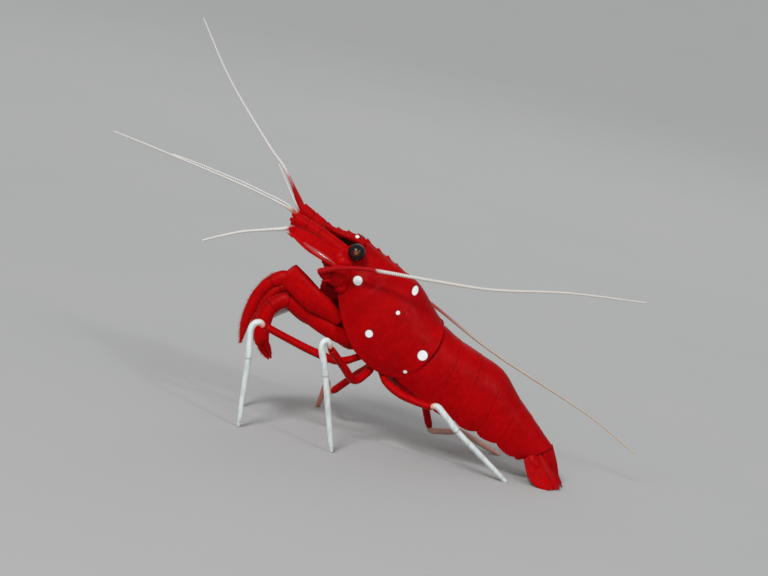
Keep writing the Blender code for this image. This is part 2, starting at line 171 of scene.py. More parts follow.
class Route:
    """Smooth curve through given points, in millimetres."""

    STEP = 0.02
    PARTS = 40
    FINE = 400

    def __init__(self, points: Iterable[Sequence[float]]) -> None:
        """Keeps the points as vectors."""
        self.points = [Vector(point) for point in points]

    def at(self, t: float) -> Vector:
        """Point at t, from 0 to 1."""
        return eased(self.points, t)

    def ring(self, t: float, across: Sequence[float]) -> Ring:
        """Section plane at t, its side as near as may be to the direction across.

        Args:
            t: Place from 0 to 1.
            across: Wished direction of its side.

        Returns:
            The plane.
        """
        ahead, behind = min(t + self.STEP, 1), max(t - self.STEP, 0)
        heading = (self.at(ahead) - self.at(behind)).normalized()
        wish = Vector(across)
        side = (wish - heading * heading.dot(wish)).normalized()
        return Ring(self.at(t), side, heading.cross(side), heading, t)

    def length(self, start: float, end: float) -> float:
        """Length between two places on the curve."""
        spots = [self.at(start + (end - start) * k / self.PARTS) for k in range(self.PARTS + 1)]
        return sum((b - a).length for a, b in zip(spots, spots[1:]))

    def even(self, pitch: float) -> list[float]:
        """Places from end to end, as near a pitch apart as comes out even.

        Args:
            pitch: Wished distance in millimetres.

        Returns:
            Places from 0 to 1.
        """
        reaches, spot = [0.0], self.at(0)
        for k in range(1, self.FINE + 1):
            following = self.at(k / self.FINE)
            reaches.append(reaches[-1] + (following - spot).length)
            spot = following
        count = max(2, round(reaches[-1] / pitch))
        wanted = [reaches[-1] * k / count for k in range(count + 1)]
        shares = [k / self.FINE for k in range(self.FINE + 1)]
        return np.interp(wanted, reaches, shares).tolist()


# ---------------------------------------------------------------- shapes


def close(shape: Shape) -> Shape:
    """Joins what coincides, fills the ends and turns the faces outwards."""
    bmesh.ops.remove_doubles(shape, verts=shape.verts, dist=1e-4)
    bmesh.ops.holes_fill(shape, edges=shape.edges, sides=0)
    bmesh.ops.recalc_face_normals(shape, faces=shape.faces)
    return shape


def blank() -> Shape:
    """Empty shape with the layers that the finishes read."""
    shape = bmesh.new()
    for layer in ("along", "tone", "warm"):
        shape.verts.layers.float.new(layer)
    return shape


def grid(columns: int, rows: int,
         place: Callable[[float, float], tuple[Vector, float]]) -> Shape:
    """Open grid of faces, laid where a function says.

    Args:
        columns: Faces across.
        rows: Faces along.
        place: Gives the point and its "along" for a share across and a share along.

    Returns:
        Open shape.
    """
    shape = blank()
    along = shape.verts.layers.float["along"]
    bmesh.ops.create_grid(shape, x_segments=columns, y_segments=rows, size=1)
    for vert in shape.verts:
        vert.co, vert[along] = place((vert.co.x + 1) / 2, (vert.co.y + 1) / 2)
    return shape


def rolled(around: int, rings: int, place: Callable[[float, float], Vector]) -> Shape:
    """A grid rolled into a closed tube; place takes a turn and a share of the length."""
    return close(grid(around, rings, lambda turn, t: (place(turn, t), t)))


def tube(rings: Sequence[Ring], sides: int,
         section: Callable[[int, float], Flat]) -> Shape:
    """Closed tube through rings.

    Args:
        rings: Section planes from end to end.
        sides: Faces round the tube.
        section: Gives the offsets along side and normal for a ring's number and an angle.

    Returns:
        Closed shape whose layer "along" holds each ring's share.
    """
    last = len(rings) - 1

    def place(turn: float, t: float) -> tuple[Vector, float]:
        """Point on the tube, and its share."""
        number = round(t * last)
        ring = rings[number]
        out, up = section(number, math.tau * turn)
        return ring.centre + ring.side * out + ring.normal * up, ring.share

    return close(grid(sides, last, place))


def profile(turn: float) -> Flat:
    """Depth below the top, 0 to 1, and breadth, -1 to 1, at a turn round a section."""
    angle = math.tau * turn
    return 0.5 - 0.5 * math.cos(angle), math.sin(angle)


def pitched(angle: float) -> Matrix:
    """Turn about the axis that runs across the animal."""
    return Matrix.Rotation(angle, 3, "Y")


def meshed(name: str, shape: Shape) -> bpy.types.Mesh:
    """New mesh of a shape, which is used up."""
    mesh = bpy.data.meshes.new(name)
    shape.to_mesh(mesh)
    shape.free()
    return mesh


def linked(name: str, data: bpy.types.ID) -> bpy.types.Object:
    """New object in the scene."""
    obj = bpy.data.objects.new(name, data)
    bpy.context.scene.collection.objects.link(obj)
    return obj


def merged(parts: Iterable[Shape]) -> Shape:
    """All parts in one shape; the parts are used up.

    Args:
        parts: Shapes to join.

    Returns:
        Their sum.
    """
    whole = blank()
    for part in parts:
        carrier = meshed("carrier", part)
        whole.from_mesh(carrier)
        bpy.data.meshes.remove(carrier)
    return whole


def raised(shape: Shape) -> Shape:
    """Flattens what would lie under the floor onto it."""
    for vert in shape.verts:
        vert.co.z = max(vert.co.z, 0.0)
    return shape


def worked(shape: Shape, *modifiers: tuple[str, dict]) -> Shape:
    """The shape after modifiers.

    Args:
        shape: Shape to work on; it is used up.
        modifiers: Kind and settings of each, in order.

    Returns:
        Finished shape.
    """
    mesh = meshed("bench", shape)
    obj = linked("bench", mesh)
    for kind, settings in modifiers:
        modifier = obj.modifiers.new(kind, kind)
        for key, value in settings.items():
            setattr(modifier, key, value)
    done = bmesh.new()
    done.from_object(obj, bpy.context.evaluated_depsgraph_get())
    bpy.data.objects.remove(obj)
    bpy.data.meshes.remove(mesh)
    return done


def horn(base: Vector, tip: Vector, length: float, width: float, run: Vector,
         segments: int = 10) -> Shape:
    """A tooth or spine: a cone leaning from an oval base.

    Args:
        base: Middle of the base.
        tip: Its point.
        length: Half length of the base along run.
        width: Half width of the base across run.
        run: Direction of the base's length.
        segments: Faces round it.

    Returns:
        Closed shape.
    """
    shape = blank()
    flank = run.cross(tip - base).normalized()
    base = base - (tip - base) * 0.08
    rise = tip - base
    bmesh.ops.create_cone(shape, cap_ends=True, segments=segments, radius1=1, radius2=0.02,
                          depth=1)
    lean = Matrix((run.normalized() * length, flank * width, rise)).transposed().to_4x4()
    bmesh.ops.translate(shape, verts=shape.verts, vec=(0, 0, 0.5))
    bmesh.ops.transform(shape, matrix=Matrix.Translation(base) @ lean, verts=shape.verts)
    bmesh.ops.recalc_face_normals(shape, faces=shape.faces)
    return shape


def ball(centre: Vector, radii: Point, turned: Matrix, tone: float = 0.0,
         segments: int = 16) -> Shape:
    """An ellipsoid.

    Args:
        centre: Its middle.
        radii: Half lengths on its own axes.
        turned: Rotation of those axes.
        tone: Value for the layer "tone".
        segments: Faces round it.

    Returns:
        Closed shape.
    """
    shape = blank()
    bmesh.ops.create_uvsphere(shape, u_segments=segments, v_segments=segments * 2 // 3, radius=1)
    place = Matrix.Translation(centre) @ turned.to_4x4() @ Matrix.Diagonal((*radii, 1))
    bmesh.ops.transform(shape, matrix=place, verts=shape.verts)
    layer = shape.verts.layers.float["tone"]
    for vert in shape.verts:
        vert[layer] = tone
    return shape


def ruffle(shape: Shape, height: float, size: float) -> Shape:
    """Lifts the surface in low, even swells.

    Args:
        shape: Shape to work on.
        height: Height of the swells.
        size: Distance between them.

    Returns:
        The same shape.
    """
    shape.normal_update()
    moves = [(vert, vert.normal * noise.noise(vert.co / size) * height) for vert in shape.verts]
    for vert, move in moves:
        vert.co += move
    return shape


@dataclass(frozen=True)
class Limb:
    """A jointed limb: articles along a route, each a little wider at its far end."""

    route: Route
    half: Sizes
    joints: Sizes = ()
    across: Point = (0.0, 1.0, 0.0)
    flatness: float = 1.0
    deep: Sizes = ()
    sides: int = 18
    flare: float = 0.04
    pitch: float = 0.2
    cap: float = 0.2
    furrow: float = 0.0

    def reach(self, t: float) -> Flat:
        """Half breadth at t, across and at right angles to that."""
        half = eased(self.half, t)
        return half, eased(self.deep, t) if self.deep else half * self.flatness

    def article(self, start: float, end: float) -> Shape:
        """One article, rounded at both joints.

        Args:
            start: Place of its near joint.
            end: Place of its far joint.

        Returns:
            Closed shape.
        """
        span = self.route.length(start, end)
        count = max(12, min(90, int(span / self.pitch) + 8))
        shares = [0.5 - 0.5 * math.cos(math.pi * k / count) for k in range(count + 1)]
        rings = [self.route.ring(start + (end - start) * u, self.across) for u in shares]
        radii = []
        for u, ring in zip(shares, rings):
            half, deep = self.reach(ring.share)
            nearest = min(u, 1 - u) * span
            cap = max(0.02, self.cap * min(half, deep))
            dome = math.sqrt(max(0.0, 1 - (1 - min(1.0, nearest / cap)) ** 2))
            swell = 1 + self.flare * (smooth(0.7, 1, u) - 0.8 * smooth(0.75, 1, 1 - u))
            share = max(dome, 0.02) * swell
            radii.append((half * share, deep * share, smooth(0.04, 0.2, min(u, 1 - u))))

        def section(number: int, angle: float) -> Flat:
            """Offsets of a faintly grooved oval."""
            half, deep, inner = radii[number]
            across, up = math.cos(angle), math.sin(angle)
            grooves = hump(up, 0.25, 0.11) + 0.7 * hump(up, -0.3, 0.11)
            swell = 1 + 0.025 * math.cos(4 * angle) - self.furrow * inner * grooves
            return half * swell * across, deep * swell * up

        return tube(rings, self.sides, section)

    def knuckle(self, t: float) -> Shape:
        """Soft skin that shows between two articles."""
        ring = self.route.ring(t, self.across)
        half, deep = (0.94 * radius for radius in self.reach(t))
        turned = Matrix((ring.side, ring.normal, ring.heading)).transposed()
        return ball(ring.centre, (half, deep, 0.6 * min(half, deep)), turned, 1.0)

    def articles(self, end: float = 1.0) -> list[Shape]:
        """The articles as far as end."""
        stops = (0.0, *self.joints, end)
        return [self.article(start, stop) for start, stop in zip(stops, stops[1:])]

    def knuckles(self) -> list[Shape]:
        """The soft skin at every joint."""
        return [self.knuckle(joint) for joint in self.joints]

    def shape(self) -> Shape:
        """The whole limb."""
        return merged(self.articles() + self.knuckles())

    def surface(self, t: float, angle: float) -> tuple[Vector, Vector, Vector]:
        """Point on the limb's surface, its outward direction and the limb's heading there.

        Args:
            t: Place along the limb.
            angle: Angle round it.

        Returns:
            The point and the two directions.
        """
        ring = self.route.ring(t, self.across)
        half, deep = self.reach(t)
        out = ring.side * math.cos(angle) * half + ring.normal * math.sin(angle) * deep
        return ring.centre + out * 0.95, out.normalized(), ring.heading


@dataclass(frozen=True)
class Blade:
    """A flat leaf along a route, such as a scale, a fin or a paddle."""

    route: Route
    half: Sizes
    across: Point
    thick: float = 0.14
    rib: float = 0.0
    rib_at: float = -0.8
    rib_width: float = 0.16
    keel: float = 0.0
    camber: float = 0.0
    sides: int = 40
    rings: int = 60
    blunt: float = 0.55

    @staticmethod
    def rounding(t: float) -> float:
        """How the leaf narrows to its round end, 1 to almost 0."""
        return math.sqrt(max(0.0, 1 - smooth(0.9, 1, t) ** 2 * 0.98))

    def thickness(self, b: float, t: float) -> float:
        """Half thickness at b, from -1 to 1 across, and t along."""
        rib = self.rib * hump(b, self.rib_at, self.rib_width) * smooth(1.0, 0.75, t)
        keel = self.keel * hump(b, 0, 0.12) * smooth(1.0, 0.6, t)
        return self.thick * (1 - 0.25 * b * b) + rib + keel

    def shape(self) -> Shape:
        """The leaf as a closed shape."""
        shares = [k / self.rings for k in range(self.rings + 1)]
        rings = [self.route.ring(t, self.across) for t in shares]

        def section(number: int, angle: float) -> Flat:
            """Offsets of the leaf's flat section."""
            t = shares[number]
            end = self.rounding(t)
            b, face = math.cos(angle), math.sin(angle)
            rise = math.copysign(abs(face) ** self.blunt, face) * self.thickness(b, t)
            arch = self.camber * (b * b - 0.4) * smooth(1.0, 0.55, t)
            return b * eased(self.half, t) * end, (rise + arch) * max(end, 0.15)

        return tube(rings, self.sides, section)

    def edge(self, t: float, b: float) -> tuple[Vector, Vector, Vector]:
        """Point on the leaf's edge, its outward direction and the heading there."""
        ring = self.route.ring(t, self.across)
        out = ring.side * b * eased(self.half, t) * self.rounding(t)
        return ring.centre + out, ring.side * b, ring.heading


@dataclass(frozen=True)
class Shell:
    """A shell wrapped over the back and open below: ridge, lower edge and half width."""

    stations: tuple[tuple[Flat, Flat, float], ...]
    sweep: float = math.radians(125)

    @property
    def last(self) -> int:
        """Number of the last station."""
        return len(self.stations) - 1

    def section(self, s: float) -> tuple[Vector, Vector, float]:
        """Ridge point, lower edge point and half width at station s."""
        t = s / self.last
        ridge = eased([Vector(ridge) for ridge, _, _ in self.stations], t)
        edge = eased([Vector(edge) for _, edge, _ in self.stations], t)
        return ridge, edge, eased([half for _, _, half in self.stations], t)

    def inside(self, s: float, drop: float, out: float) -> Vector:
        """Point at station s: drop from ridge to lower edge, out in half widths."""
        ridge, edge, half = self.section(s)
        spot = ridge + (edge - ridge) * drop
        return Vector((spot.x, out * half, spot.y))

    def point(self, s: float, q: float, side: float, lobe: float = 0.0) -> Vector:
        """Point on the shell.

        Args:
            s: Station.
            q: 0 at the ridge and 1 at the lower edge.
            side: 1 on the right and -1 on the left.
            lobe: How far the lower edge is drawn up, part of the depth.

        Returns:
            The point.
        """
        turned = self.sweep * q
        drop = (1 - math.cos(turned)) / (1 - math.cos(self.sweep)) * (1 - lobe * q**4)
        return self.inside(s, drop, side * math.sin(turned))

    def lifted(self, point: Vector, s: float, height: float) -> Vector:
        """The point moved away from the middle of the section at station s."""
        ridge, edge, _ = self.section(s)
        middle = (ridge + edge) / 2
        return point + (point - Vector((middle.x, 0, middle.y))).normalized() * height

    @staticmethod
    def sheet(columns: int, rows: int,
              place: Callable[[float, float, float], Vector]) -> Shape:
        """Open sheet over the back, facing outwards.

        Args:
            columns: Faces from edge to edge.
            rows: Faces from front to back.
            place: Gives the point for q, the side and t from front to back.

        Returns:
            Open shape.
        """
        def spot(share: float, t: float) -> tuple[Vector, float]:
            """Point for a share from edge to edge and t."""
            aside = 2 * share - 1
            return place(abs(aside), math.copysign(1, aside), t), t

        shape = grid(columns, rows, spot)
        bmesh.ops.recalc_face_normals(shape, faces=shape.faces)
        shape.normal_update()
        top = max(shape.faces, key=lambda face: face.calc_center_median().z)
        if top.normal.z < 0:
            bmesh.ops.reverse_faces(shape, faces=shape.faces)
        return shape


# ---------------------------------------------------------------- finishes


class Graph:
    """A material's nodes, put together with short calls. Sizes are in millimetres."""

    def __init__(self, name: str) -> None:
        """Starts from a plain Principled material."""
        self.material = bpy.data.materials.new(name)
        self.material.use_nodes = True
        self.tree = self.material.node_tree
        self.shader = self.tree.nodes["Principled BSDF"]
        self._place: Socket | None = None

    def add(self, kind: str, inputs: dict | None = None, **settings) -> bpy.types.Node:
        """A new node.

        Args:
            kind: Its type without the prefix.
            inputs: Numbers or sockets for its inputs.
            settings: Its own properties.

        Returns:
            The node.
        """
        node = self.tree.nodes.new("ShaderNode" + kind)
        for key, value in settings.items():
            setattr(node, key, value)
        for key, value in (inputs or {}).items():
            self.feed(node.inputs[key], value)
        return node

    def feed(self, target: Socket, value: Input) -> None:
        """Sets an input to a number or colour, or links a socket to it."""
        if isinstance(value, bpy.types.NodeSocket):
            self.tree.links.new(value, target)
        else:
            target.default_value = value

    def place(self) -> Socket:
        """The animal's own coordinates, in millimetres."""
        if self._place is None:
            coords = self.add("TexCoord").outputs["Object"]
            shift = tuple(-c / MM for c in ORIGIN)
            mapping = self.add("Mapping", {"Vector": coords, "Location": shift,
                                           "Scale": (1 / MM, 1 / MM, 1 / MM)})
            self._place = mapping.outputs["Vector"]
        return self._place

    def maths(self, operation: str, a: Input, b: Input = 0.0) -> Socket:
        """Result of a Math node."""
        return self.add("Math", {0: a, 1: b}, operation=operation).outputs[0]

    def vector(self, operation: str, a: Input, b: Input) -> Socket:
        """Vector that a Vector Math node gives."""
        return self.add("VectorMath", {0: a, 1: b}, operation=operation).outputs[0]

    def measure(self, operation: str, *vectors: Input) -> Socket:
        """Number that a Vector Math node gives."""
        inputs = dict(enumerate(vectors))
        return self.add("VectorMath", inputs, operation=operation).outputs["Value"]

    def noise(self, size: float, detail: float = 3.0, stretch: Point = (1, 1, 1)) -> Socket:
        """Noise whose swells are about size apart.

        Args:
            size: Distance between swells.
            detail: Number of finer layers.
            stretch: How much denser it is along each axis.

        Returns:
            Value about 0.5.
        """
        spread = self.vector("MULTIPLY", self.place(), stretch)
        return self.add("TexNoise", {"Vector": spread, "Scale": 1 / size,
                                     "Detail": detail}).outputs[0]

    def cells(self, size: float, feature: str = "F1") -> Socket:
        """Distance inside cells about size across."""
        return self.add("TexVoronoi", {"Vector": self.place(), "Scale": 1 / size},
                        feature=feature).outputs["Distance"]

    def layer(self, name: str) -> Socket:
        """Value that the shape carries under this name."""
        return self.add("Attribute", attribute_name=name).outputs["Fac"]

    def step(self, low: float, high: float, value: Input) -> Socket:
        """Eased step from 0 at low to 1 at high."""
        return self.add("MapRange", {"Value": value, "From Min": low, "From Max": high},
                        interpolation_type="SMOOTHSTEP").outputs[0]

    def scaled(self, value: Input, low: float, high: float) -> Socket:
        """A value from 0 to 1 spread from low to high."""
        return self.add("MapRange", {"Value": value, "To Min": low, "To Max": high}).outputs[0]

    def mix(self, share: Input, first: Input, second: Input) -> Socket:
        """Colour between two, by a share from 0 to 1."""
        return self.add("Mix", {0: share, 6: first, 7: second}, data_type="RGBA").outputs[2]

    def bump(self, height: Input, depth: float, over: Socket | None = None) -> Socket:
        """Normal for a height from 0 to 1 that is depth millimetres high.

        Args:
            height: The height.
            depth: Its scale.
            over: Normal that it is laid over.

        Returns:
            The normal.
        """
        inputs = {"Height": height, "Distance": depth * MM, "Strength": 1.0}
        if over is not None:
            inputs["Normal"] = over
        return self.add("Bump", inputs).outputs["Normal"]

    def dress(self, colour: Input, roughness: Input, normal: Socket | None = None,
              **uniform: float) -> bpy.types.Material:
        """Feeds the shader.

        Args:
            colour: Colour or socket.
            roughness: Number or socket.
            normal: Normal socket.
            uniform: Numbers set on the shader's own sockets, spaces written as underscores.

        Returns:
            The finished material.
        """
        self.feed(self.shader.inputs["Base Color"], colour)
        self.feed(self.shader.inputs["Roughness"], roughness)
        if normal is not None:
            self.feed(self.shader.inputs["Normal"], normal)
        for key, value in uniform.items():
            self.shader.inputs[key.replace("_", " ")].default_value = value
        return self.material


@dataclass(frozen=True)
class Finish:
    """A surface. The material is made once and shared."""

    name: str

    def material(self) -> bpy.types.Material:
        """The material of this finish."""
        return bpy.data.materials.get(self.name) or self.made(Graph(self.name))

    def made(self, graph: Graph) -> bpy.types.Material:
        """Builds the material."""
        raise NotImplementedError


@dataclass(frozen=True)
class RedShell(Finish):
    """Hard red shell with crowded colour cells, fine pits and a satin shine."""

    colour: Colour = (0.37, 0.0008, 0.0020, 1)
    deep: Colour = (0.24, 0.0004, 0.0016, 1)
    bright: Colour = (0.47, 0.002, 0.003, 1)
    soft: Colour = (0.24, 0.002, 0.003, 1)
    roughness: float = 0.34
    shine: float = 0.035
    swell: float = 3.2
    relief: float = 1.0
    varnish: float = 0.0
    spots: tuple[tuple[float, float, float, float], ...] = ()

    def colouring(self, graph: Graph) -> Socket:
        """Red that drifts from deep to bright, stippled with colour cells."""
        clouds = graph.step(0.36, 0.66, graph.noise(self.swell))
        red = graph.mix(graph.scaled(clouds, 0, 0.55), self.colour, self.deep)
        fine = graph.step(0.45, 0.75, graph.noise(0.55, 4))
        red = graph.mix(graph.scaled(fine, 0, 0.45), red, self.bright)
        stipple = graph.step(0.55, 0.2, graph.cells(0.16))
        red = graph.mix(graph.scaled(stipple, 0, 0.3), red, self.deep)
        return graph.mix(graph.layer("tone"), red, self.soft)

    def spotted(self, graph: Graph, red: Socket) -> tuple[Socket, Input]:
        """White spots, the same on both sides, each in a thin dark ring; an entry may also be a
        painted highlight drawn as a spot.

        Args:
            graph: Nodes of the material.
            red: Colour under the spots.

        Returns:
            The colour, and where the spots cover it.
        """
        if not self.spots:
            return red, 0.0
        wobble = graph.scaled(graph.noise(0.35, 2), -0.05, 0.05)
        cover = halo = 0.0
        for x, z, wide, tall in self.spots:
            shift = graph.vector("SUBTRACT", graph.place(), (x, 0, z))
            squeeze = graph.vector("MULTIPLY", shift, (2 / wide, 0, 2 / tall))
            far = graph.maths("ADD", graph.measure("LENGTH", squeeze), wobble)
            rim = 0.12 / wide
            cover = graph.maths("MAXIMUM", cover, graph.step(1 + rim, 1 - rim, far))
            halo = graph.maths("MAXIMUM", halo, graph.step(1 + 3.5 * rim, 1 + rim, far))
        red = graph.mix(graph.maths("MULTIPLY", halo, 0.6), red, (0.12, 0.0, 0.004, 1))
        pale = graph.mix(graph.noise(0.25), (0.86, 0.88, 0.86, 1), (0.66, 0.70, 0.70, 1))
        return graph.mix(cover, red, pale), cover

    def made(self, graph: Graph) -> bpy.types.Material:
        """Colour cells, spots, pits and shine."""
        colour, cover = self.spotted(graph, self.colouring(graph))
        pits, grain, swells = (graph.step(0.0, 0.28, graph.cells(0.22)), graph.noise(0.12),
                               graph.noise(0.9, 2))
        normal = None
        for height, depth in ((pits, 0.008), (grain, 0.012), (swells, 0.03)):
            normal = graph.bump(height, depth * self.relief, normal)
        rough = graph.scaled(graph.noise(0.5), self.roughness * 0.75, self.roughness * 1.3)
        rough = graph.maths("ADD", rough, graph.maths("MULTIPLY", cover, 0.15))
        return graph.dress(colour, rough, normal, Specular_IOR_Level=self.shine,
                           Coat_Weight=self.varnish, Coat_Roughness=0.08)


@dataclass(frozen=True)
class PaleLeg(Finish):
    """White lower leg, faintly blue and clear, tinted orange where the layer asks: near the knee,
    and evenly over the two far legs.
    """

    colour: Colour = (0.66, 0.71, 0.70, 1)
    shade: Colour = (0.45, 0.52, 0.52, 1)
    stain: Colour = (0.66, 0.17, 0.06, 1)
    soft: Colour = (0.44, 0.41, 0.37, 1)

    def made(self, graph: Graph) -> bpy.types.Material:
        """Mottled white with fine lengthwise streaks."""
        clouds = graph.step(0.4, 0.7, graph.noise(0.8, 3, (1.6, 1.6, 0.5)))
        colour = graph.mix(graph.scaled(clouds, 0, 0.7), self.colour, self.shade)
        colour = graph.mix(graph.layer("tone"), colour, self.soft)
        colour = graph.mix(graph.layer("warm"), colour, self.stain)
        normal = graph.bump(graph.noise(0.14, 3, (1, 1, 0.3)), 0.015)
        rough = graph.scaled(graph.noise(0.4), 0.34, 0.52)
        return graph.dress(colour, rough, normal, Specular_IOR_Level=0.25)


@dataclass(frozen=True)
class Feeler(Finish):
    """Whip of many rings, white beyond a red root. The layer "along" is in millimetres."""

    red_length: float = 0.0
    pitch: float = 0.26
    fade: float = 0.8
    white: Colour = (0.68, 0.675, 0.65, 1)
    seam: Colour = (0.24, 0.17, 0.15, 1)
    red: Colour = (0.40, 0.002, 0.004, 1)

    def made(self, graph: Graph) -> bpy.types.Material:
        """Dark seams between the rings and the colour change from the root."""
        reach = graph.layer("along")
        beat = graph.maths("FRACT", graph.maths("DIVIDE", reach, self.pitch))
        seams = graph.maths("ADD", graph.step(0.24, 0.06, beat), graph.step(0.8, 0.97, beat))
        patchy = graph.scaled(graph.noise(1.7), 0.35, 1.0)
        pale = graph.mix(graph.maths("MULTIPLY", seams, patchy), self.white, self.seam)
        root = graph.mix(graph.maths("MULTIPLY", seams, 0.5), self.red, (0.14, 0.0, 0.004, 1))
        if self.red_length > 0:
            drift = graph.maths("ADD", reach, graph.scaled(graph.noise(0.8), -0.8, 0.8))
            turn = graph.step(self.red_length - self.fade, self.red_length + self.fade, drift)
            pale = graph.mix(turn, root, pale)
        normal = graph.bump(graph.noise(0.1), 0.008)
        rough = graph.scaled(graph.noise(0.5), 0.38, 0.55)
        return graph.dress(pale, rough, normal, Specular_IOR_Level=0.1)


@dataclass(frozen=True)
class Cornea(Finish):
    """Black faceted eye with a painted highlight: an amber glint painted deep in its outer face.
    """

    centre: Point = (0.0, 0.0, 0.0)
    outward: float = -1.0

    def made(self, graph: Graph) -> bpy.types.Material:
        """Facets in hexagon-like cells, and a painted amber glint near the pole with a red-brown
        halo.
        """
        from_centre = graph.vector("SUBTRACT", graph.place(), self.centre)
        far = graph.measure("DISTANCE", from_centre, (-0.02, self.outward * EYE_RADIUS, 0.1))
        haze = graph.maths("ADD", far, graph.scaled(graph.noise(0.2), -0.1, 0.1))
        black = graph.mix(graph.noise(0.5), (0.003, 0.003, 0.004, 1), (0.010, 0.007, 0.006, 1))
        # painted highlight: dim red-brown halo and amber glint, fixed at the eye's outward pole
        ring = graph.mix(graph.step(0.72, 0.36, haze), black, (0.042, 0.008, 0.003, 1))
        painted_amber_glint = graph.mix(graph.step(0.36, 0.1, haze), ring, (0.26, 0.075, 0.010, 1))
        facets = graph.step(0.0, 0.5, graph.cells(0.055, "DISTANCE_TO_EDGE"))
        normal = graph.bump(facets, 0.004)
        return graph.dress(painted_amber_glint, 0.2, normal, Specular_IOR_Level=0.1, Coat_Weight=0.25,
                           Coat_Roughness=0.08)


@dataclass(frozen=True)
class Seta(Finish):
    """Fine bristle, dark at the root and clearer to the tip by the layer "along"."""

    root: Colour = (0.36, 0.002, 0.003, 1)
    tip: Colour = (0.46, 0.022, 0.018, 1)

    def made(self, graph: Graph) -> bpy.types.Material:
        """Colour drifting from root to tip."""
        drift = graph.maths("ADD", graph.layer("along"), graph.scaled(graph.noise(0.4), -0.2, 0.2))
        colour = graph.mix(graph.step(0.1, 0.95, drift), self.root, self.tip)
        return graph.dress(colour, 0.5, None, Specular_IOR_Level=0.15)


@dataclass(frozen=True)
class Membrane(Finish):
    """Soft skin between plates: wrinkled, dull and darker; also serves as a near-black sheet of
    painted shadow.
    """

    colour: Colour = (0.24, 0.003, 0.004, 1)
    pale: Colour = (0.36, 0.012, 0.010, 1)
    shine: float = 0.15

    def made(self, graph: Graph) -> bpy.types.Material:
        """Fine creases across the body."""
        creases = graph.noise(0.5, 4, (3.0, 1.0, 1.0))
        colour = graph.mix(graph.step(0.35, 0.75, creases), self.colour, self.pale)
        normal = graph.bump(creases, 0.06)
        return graph.dress(colour, graph.scaled(creases, 0.4, 0.6), normal,
                           Specular_IOR_Level=self.shine)


@dataclass(frozen=True)
class Paper(Finish):
    """Plain pale floor."""

    colour: Colour = (0.44, 0.445, 0.44, 1)

    def made(self, graph: Graph) -> bpy.types.Material:
        """Very faint unevenness."""
        cloud = graph.mix(graph.noise(40), self.colour, (0.42, 0.425, 0.43, 1))
        return graph.dress(cloud, 0.9, None, Specular_IOR_Level=0.2)


# White spots on the carapace: place along and up, width and height. The last entry is no spot but
# a painted highlight: a white glint painted on the crest above the eye.
CARAPACE_SPOTS_AND_GLINT = (
    (-3.37, 20.76, 1.15, 1.15),
    (3.86, 20.85, 0.75, 1.05),
    (2.36, 18.02, 0.5, 0.5),
    (-0.58, 14.72, 0.95, 0.95),
    (6.48, 13.47, 1.25, 1.25),
    (4.81, 10.94, 0.52, 0.42),
    # painted highlight: white glint on the crest, drawn like a spot
    (-4.62, 25.66, 0.5, 0.36),
)
RED = RedShell("tail_red")
SPOTTED = RedShell("spotted_carapace", spots=CARAPACE_SPOTS_AND_GLINT)
LIMB_RED = RedShell("limb_red", colour=(0.42, 0.0010, 0.0022, 1), deep=(0.29, 0.0006, 0.0016, 1),
                    bright=(0.53, 0.003, 0.003, 1), swell=1.6)
GLOSSY_RED = RedShell("glossy_red", colour=(0.46, 0.0040, 0.0040, 1), swell=1.6, roughness=0.14,
                      shine=1.0, relief=0.03, varnish=1.0)
DARK = RedShell("dark_red", colour=(0.25, 0.001, 0.003, 1), deep=(0.12, 0.0006, 0.002, 1),
                bright=(0.34, 0.004, 0.004, 1))
FLESH = Membrane("soft_skin")
# painted shadow: near-black skin for the sheet that fills the slot between the rostrum and the
# antennule stems
SHADE = Membrane("deep_skin", colour=(0.006, 0.0006, 0.0006, 1), pale=(0.012, 0.001, 0.001, 1),
                 shine=0.02)
PALE = PaleLeg("pale_leg")
BRISTLE = Seta("bristle")
PALE_BRISTLE = Seta("pale_bristle", root=(0.40, 0.006, 0.006, 1), tip=(0.56, 0.13, 0.08, 1))


# ---------------------------------------------------------------- pieces


SHARP = math.radians(60)
UPRIGHT = Matrix.Rotation(math.pi / 2, 4, "X")


def piece(name: str, shape: Shape, finish: Finish, *nodes: str,
          slot: Slot | None = None) -> None:
    """Makes a shape a piece of the model.

    Args:
        name: The piece's name.
        shape: Its shape in millimetres; it is used up.
        finish: Its finish.
        nodes: Solids that it stands for.
        slot: Record slot that it would take its finish from; not used.
    """
    mesh = meshed(name, shape)
    mesh.transform(TO_ROW)
    mesh.shade_smooth()
    mesh.set_sharp_from_angle(angle=SHARP)
    seated(name, mesh, finish, nodes, slot)


def seated(name: str, mesh: bpy.types.Mesh, finish: Finish, nodes: Sequence[str] = (),
           slot: Slot | None = None) -> None:
    """Links a mesh in its material and lets it ride with the solids."""
    mesh.materials.append(finish.material())
    obj = linked(name, mesh)
    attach(obj, BODY)
    if nodes:
        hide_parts(*nodes)
    LOG.info("%s: %d faces", name, len(mesh.polygons))


def stand_in(name: str, shape: Shape, finish: Finish, slot: Slot = Slot.RED) -> None:
    """Makes a piece that takes the place of the solid of the same name."""
    piece(name, shape, finish, name, slot=slot)


@dataclass(frozen=True)
class Hair:
    """One bristle."""

    root: Vector
    heading: Vector
    bend: Vector
    length: float
    radius: float
    patch: Flat


